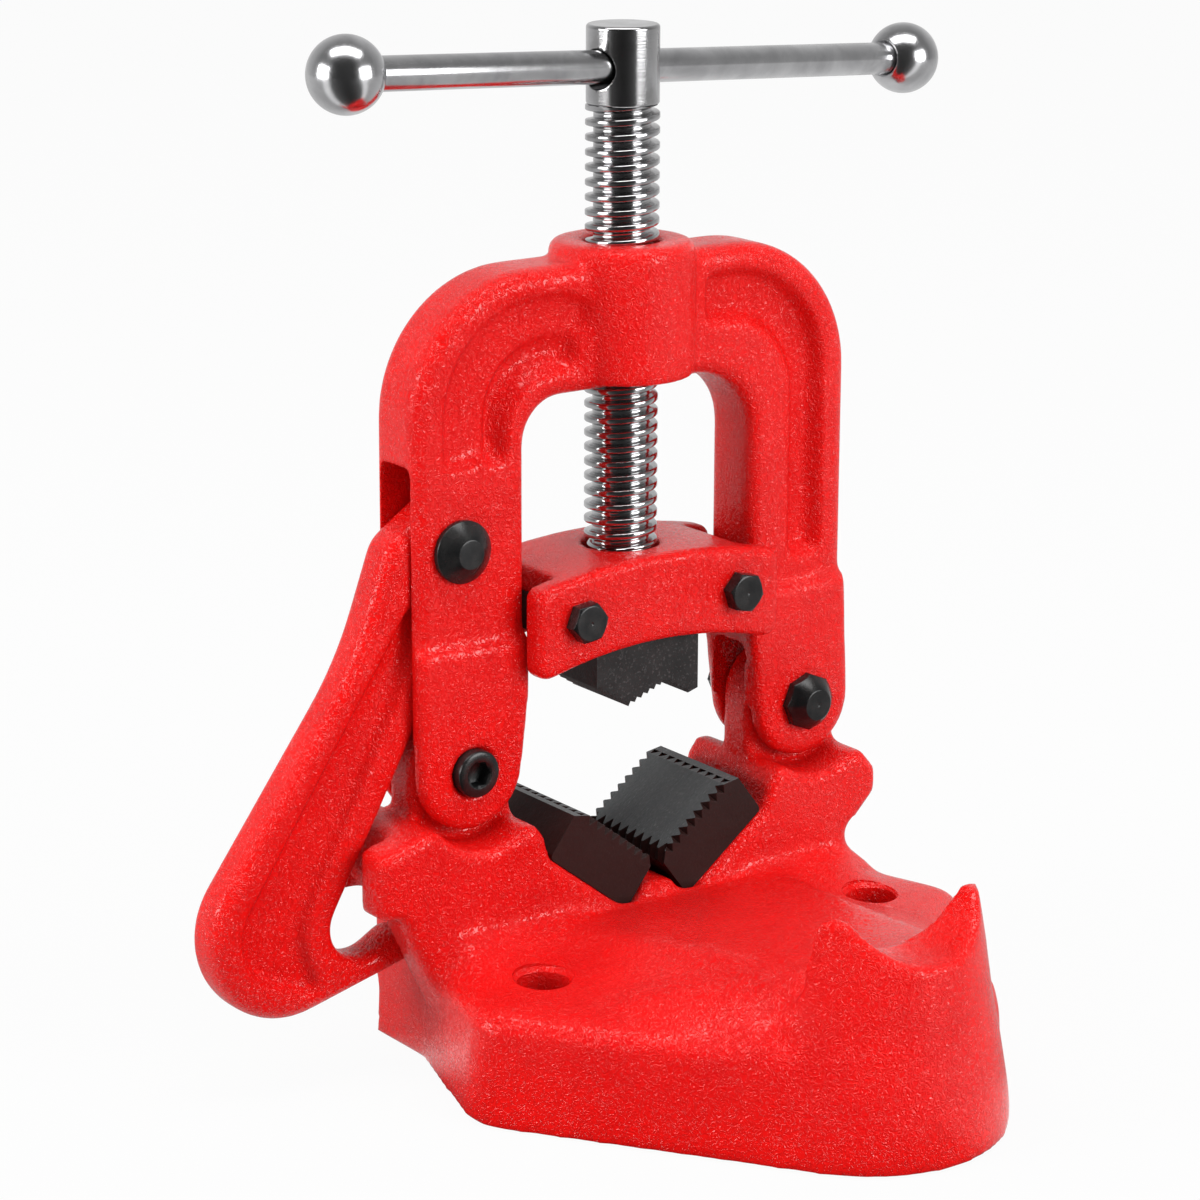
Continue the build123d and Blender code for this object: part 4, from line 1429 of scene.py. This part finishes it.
@dataclass
class Handle:
    """Sliding handle bar with a pressed-on ball at each end."""

    shift: float = 8.3
    ball_pitch: float = 210.0
    ball: float = 10.0
    bore_deep: float = 8.0
    bore_gap: float = 0.05
    mouth: float = 0.7
    mouth_deep: float = 0.5
    bar: float = 4.5
    point: float = 0.4
    arc_steps: int = 40

    def along(self, distance: float) -> tuple:
        """Point on the bar's axis.

        Args:
            distance: How far it is from the screw's axis, in millimetres.

        Returns:
            The point in millimetres.
        """
        yaw, tilt = math.radians(BAR_YAW), math.radians(BAR_TILT)
        way = Vector((math.cos(yaw) * math.cos(tilt), math.sin(yaw) * math.cos(tilt), -math.sin(tilt)))
        return tuple(way * distance + Vector((0.0, 0.0, BAR_Z)))

    def ball_shell(self) -> Thing:
        """Turn one ball with its bore up.

        Returns:
            The ball.
        """
        mouth = math.asin((self.bar + self.mouth) / self.ball)
        steps = range(1, self.arc_steps + 1)
        arcs = [math.pi - (math.pi - mouth) * step / self.arc_steps for step in steps]
        round_side = [(self.ball * math.sin(angle), self.ball * math.cos(angle)) for angle in arcs]
        bore, floor = self.bar + self.bore_gap, self.ball - self.bore_deep
        inside = [(bore, round_side[-1][1] - self.mouth_deep), (bore, floor), (0.0, floor)]
        return break_edges(lathe([(0.0, -self.ball), *round_side, *inside], 96), width=0.12, angle=35.0)

    def build(self, stock: Stock) -> None:
        """Make the bar and the ball at each of its ends.

        Args:
            stock: The finishes.
        """
        half = self.ball_pitch / 2 - self.ball + self.bore_deep
        thin = self.bar - self.point
        lower = [(0.0, -half), (thin, -half), (self.bar, self.point - half)]
        upper = [(self.bar, half - self.point), (thin, half), (0.0, half)]
        bar = break_edges(lathe([*lower, *upper], 96), width=0.1)
        turn = (0.0, 90.0 + BAR_TILT, BAR_YAW)
        dress(move(bar, self.along(self.shift), turn), "handle_bar", Body.BAR, Slot.BAR, stock.brushed)
        for side, node, flip in [(-1, "handle_ball_left", 0.0), (1, "handle_ball_right", 180.0)]:
            place = self.along(self.shift + side * self.ball_pitch / 2)
            ball = move(self.ball_shell(), place, (0.0, turn[1] + flip, BAR_YAW))
            dress(ball, node, Body.BAR, Slot.BAR, stock.brushed)


@dataclass
class Softbox:
    """One soft rectangular lamp, placed by its bearing from the camera's line."""

    name: str
    bearing: float
    rise: float
    wide: float
    tall: float
    power: float
    distance: float = 1.3
    aim: float = 0.12

    def build(self, azimuth: float) -> None:
        """Hang the lamp and aim it at the vise.

        Args:
            azimuth: Bearing of the camera in degrees.
        """
        way = bearing(azimuth + self.bearing, self.rise)
        bpy.ops.object.light_add(type="AREA", location=way * self.distance + Vector((0.0, 0.0, self.aim)))
        lamp = bpy.context.active_object
        lamp.name = self.name
        lamp.data.shape = "RECTANGLE"
        lamp.data.size = self.wide
        lamp.data.size_y = self.tall
        lamp.data.energy = self.power
        lamp.rotation_euler = (-way).to_track_quat("-Z", "Y").to_euler()
        lamp.visible_camera = False


@dataclass
class Studio:
    """Pale floor, soft lamps and the camera at the photograph's viewing angle."""

    azimuth: float = 36.07
    pitch: float = 15.61
    roll: float = 0.23
    focal: float = 112.12
    sensor: float = 36.0
    distance: float = 1.02375
    aim_height: float = 0.117
    aim_side: float = -0.00547
    paper: tuple = (0.99, 0.99, 0.99, 1.0)
    matte: tuple = (0.55, 0.55, 0.55, 1.0)
    fill: float = 0.45
    mirrored: float = 0.22
    seen_glow: float = 0.96
    backdrop: tuple = (0.02, 0.7)
    flag: tuple = (5.0, 3.0, 0.85)
    floor_r: float = 3.0
    # painted light: the floor's glow seen in reflections, by bearing from the camera, dark before it and
    # bright where the softboxes would light it
    floor_painted_light: tuple = (
        (0.0, 0.75), (0.5, 0.5), (0.70, 0.45), (0.745, 1.0), (0.83, 1.0), (0.885, 0.12), (1.0, 0.03)
    )

    def back(self) -> Vector:
        """Direction from the vise to the camera."""
        return bearing(self.azimuth, self.pitch)

    def camera(self) -> None:
        """Place the camera."""
        turn, roll = math.radians(self.azimuth), math.radians(self.roll)
        back = self.back()
        right = Vector((math.cos(turn), -math.sin(turn), 0.0))
        up = back.cross(right)
        side = right * math.cos(roll) + up * math.sin(roll)
        top = up * math.cos(roll) - right * math.sin(roll)
        spot = Vector((0.0, 0.0, self.aim_height)) + right * self.aim_side + back * self.distance
        matrix = Matrix((side, top, back)).transposed().to_4x4()
        matrix.translation = spot
        bpy.ops.object.camera_add()
        camera = bpy.context.active_object
        camera.matrix_world = matrix
        camera.data.lens = self.focal
        camera.data.sensor_width = self.sensor
        camera.data.clip_end = 20.0
        bpy.context.scene.camera = camera

    def world(self) -> None:
        """Light matte faces evenly, show metal a dark room, and show white paper where the view ends."""
        world = bpy.data.worlds.new("surroundings")
        bpy.context.scene.world = world
        graph = Graph(world, "ShaderNodeOutputWorld")
        front = graph.along(graph.node("ShaderNodeTexCoord", {}, {}, "Generated"), self.back())
        (aside, fall), (rate, start, depth) = self.backdrop, self.flag
        behind = (aside - front * fall).clipped()
        shaded = 1.0 - (front * rate - start).clipped() * depth
        glossy = graph.ray("Glossy")
        level = self.fill + glossy * (shaded * self.mirrored - self.fill)
        dark, light, paper = (
            graph.node("ShaderNodeBackground", {}, {"Color": colour, "Strength": 1.0})
            for colour in ((0.0, 0.0, 0.0, 1.0), (1.0, 1.0, 1.0, 1.0), self.paper)
        )
        share = (graph.ray("Camera") + glossy * behind + graph.ray("Transmission")).clipped()
        graph.surface(graph.blend(share, graph.blend(level, dark, light), paper))

    def floor(self) -> None:
        """Lay a wide pale floor that keeps the vise's shadow; to metal it shows painted light, dark before
        the camera and bright where the softboxes would light it.
        """
        bpy.ops.object.select_all(action="DESELECT")
        bpy.ops.mesh.primitive_circle_add(vertices=96, radius=self.floor_r, fill_type="NGON")
        floor = bpy.context.active_object
        floor.name = "floor"
        graph = Graph(bpy.data.materials.new("floor_paper"))
        matte = graph.node("ShaderNodeBsdfDiffuse", {}, {"Color": self.matte, "Roughness": 0.5})
        place = graph.node("ShaderNodeTexCoord", {}, {}, "Object")
        way = graph.node("ShaderNodeVectorMath", {"operation": "NORMALIZE"}, {0: place}, "Vector")
        level = (self.back() * Vector((1.0, 1.0, 0.0))).normalized()
        towards = graph.along(way, level) * 0.5 + 0.5
        # painted light: how brightly the floor glows to metal, dark before the camera and bright where the
        # softboxes would light it
        painted_light = graph.ramp(towards, *self.floor_painted_light)
        glossy = graph.ray("Glossy")
        dark, paper = (
            graph.node("ShaderNodeEmission", {}, {"Color": colour, "Strength": 1.0})
            for colour in ((0.0, 0.0, 0.0, 1.0), self.paper)
        )
        glow = graph.blend(1.0 + glossy * (painted_light - 1.0), dark, paper)
        through = graph.ray("Transmission")
        share = (graph.ray("Camera") * self.seen_glow + glossy + through * self.seen_glow).clipped()
        floor.data.materials.append(graph.surface(graph.blend(share, matte, glow)))

    def build(self) -> None:
        """Set the whole studio up."""
        self.camera()
        for lamp in [
            Softbox("left_softbox", 64.0, 15.0, 0.72, 0.60, 11.0),
            Softbox("right_softbox", -60.0, 15.0, 0.72, 0.60, 11.5),
            Softbox("top_softbox", 0.0, 78.0, 1.60, 0.50, 15.0),
        ]:
            lamp.build(self.azimuth)
        self.world()
        self.floor()
        bpy.context.scene.view_settings.view_transform = "Standard"


def main() -> None:
    """Build and dress every piece, then the studio."""
    logging.basicConfig(level=logging.INFO, format="%(name)s %(message)s")
    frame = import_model()
    stock = Stock(frame["nodes"])
    lean = math.radians(JAW_LEAN)
    across, up = math.sin(lean), math.cos(lean)
    for piece in [
        BaseCasting("base_casting", Body.BASE, 1.25, 7),
        Yoke("yoke", Body.YOKE, 1.0, 13),
        Casting("latch_hook", Body.HOOK, 0.8, 26),
        Casting("jaw_holder", Body.HOLDER, 0.8, 8),
        Jaw("lower_jaw_left", Body.BASE, 0.12, (across, 0, up), (0.3, 0, 1)),
        Jaw("lower_jaw_right", Body.BASE, 0.12, (-across, 0, up), (-0.3, 0, 1)),
        Jaw("upper_jaw", Body.HOLDER, 0.15, (0, -1, 0), (0, 0, 1)),
        LatchPin(),
        HingeBolt(),
        CrossBolt(),
        LowerJawScrews(),
        JawBolts(),
        MainScrew(),
        Handle(),
    ]:
        piece.build(stock)
    Studio().build()


if __name__ == "__main__":
    main()
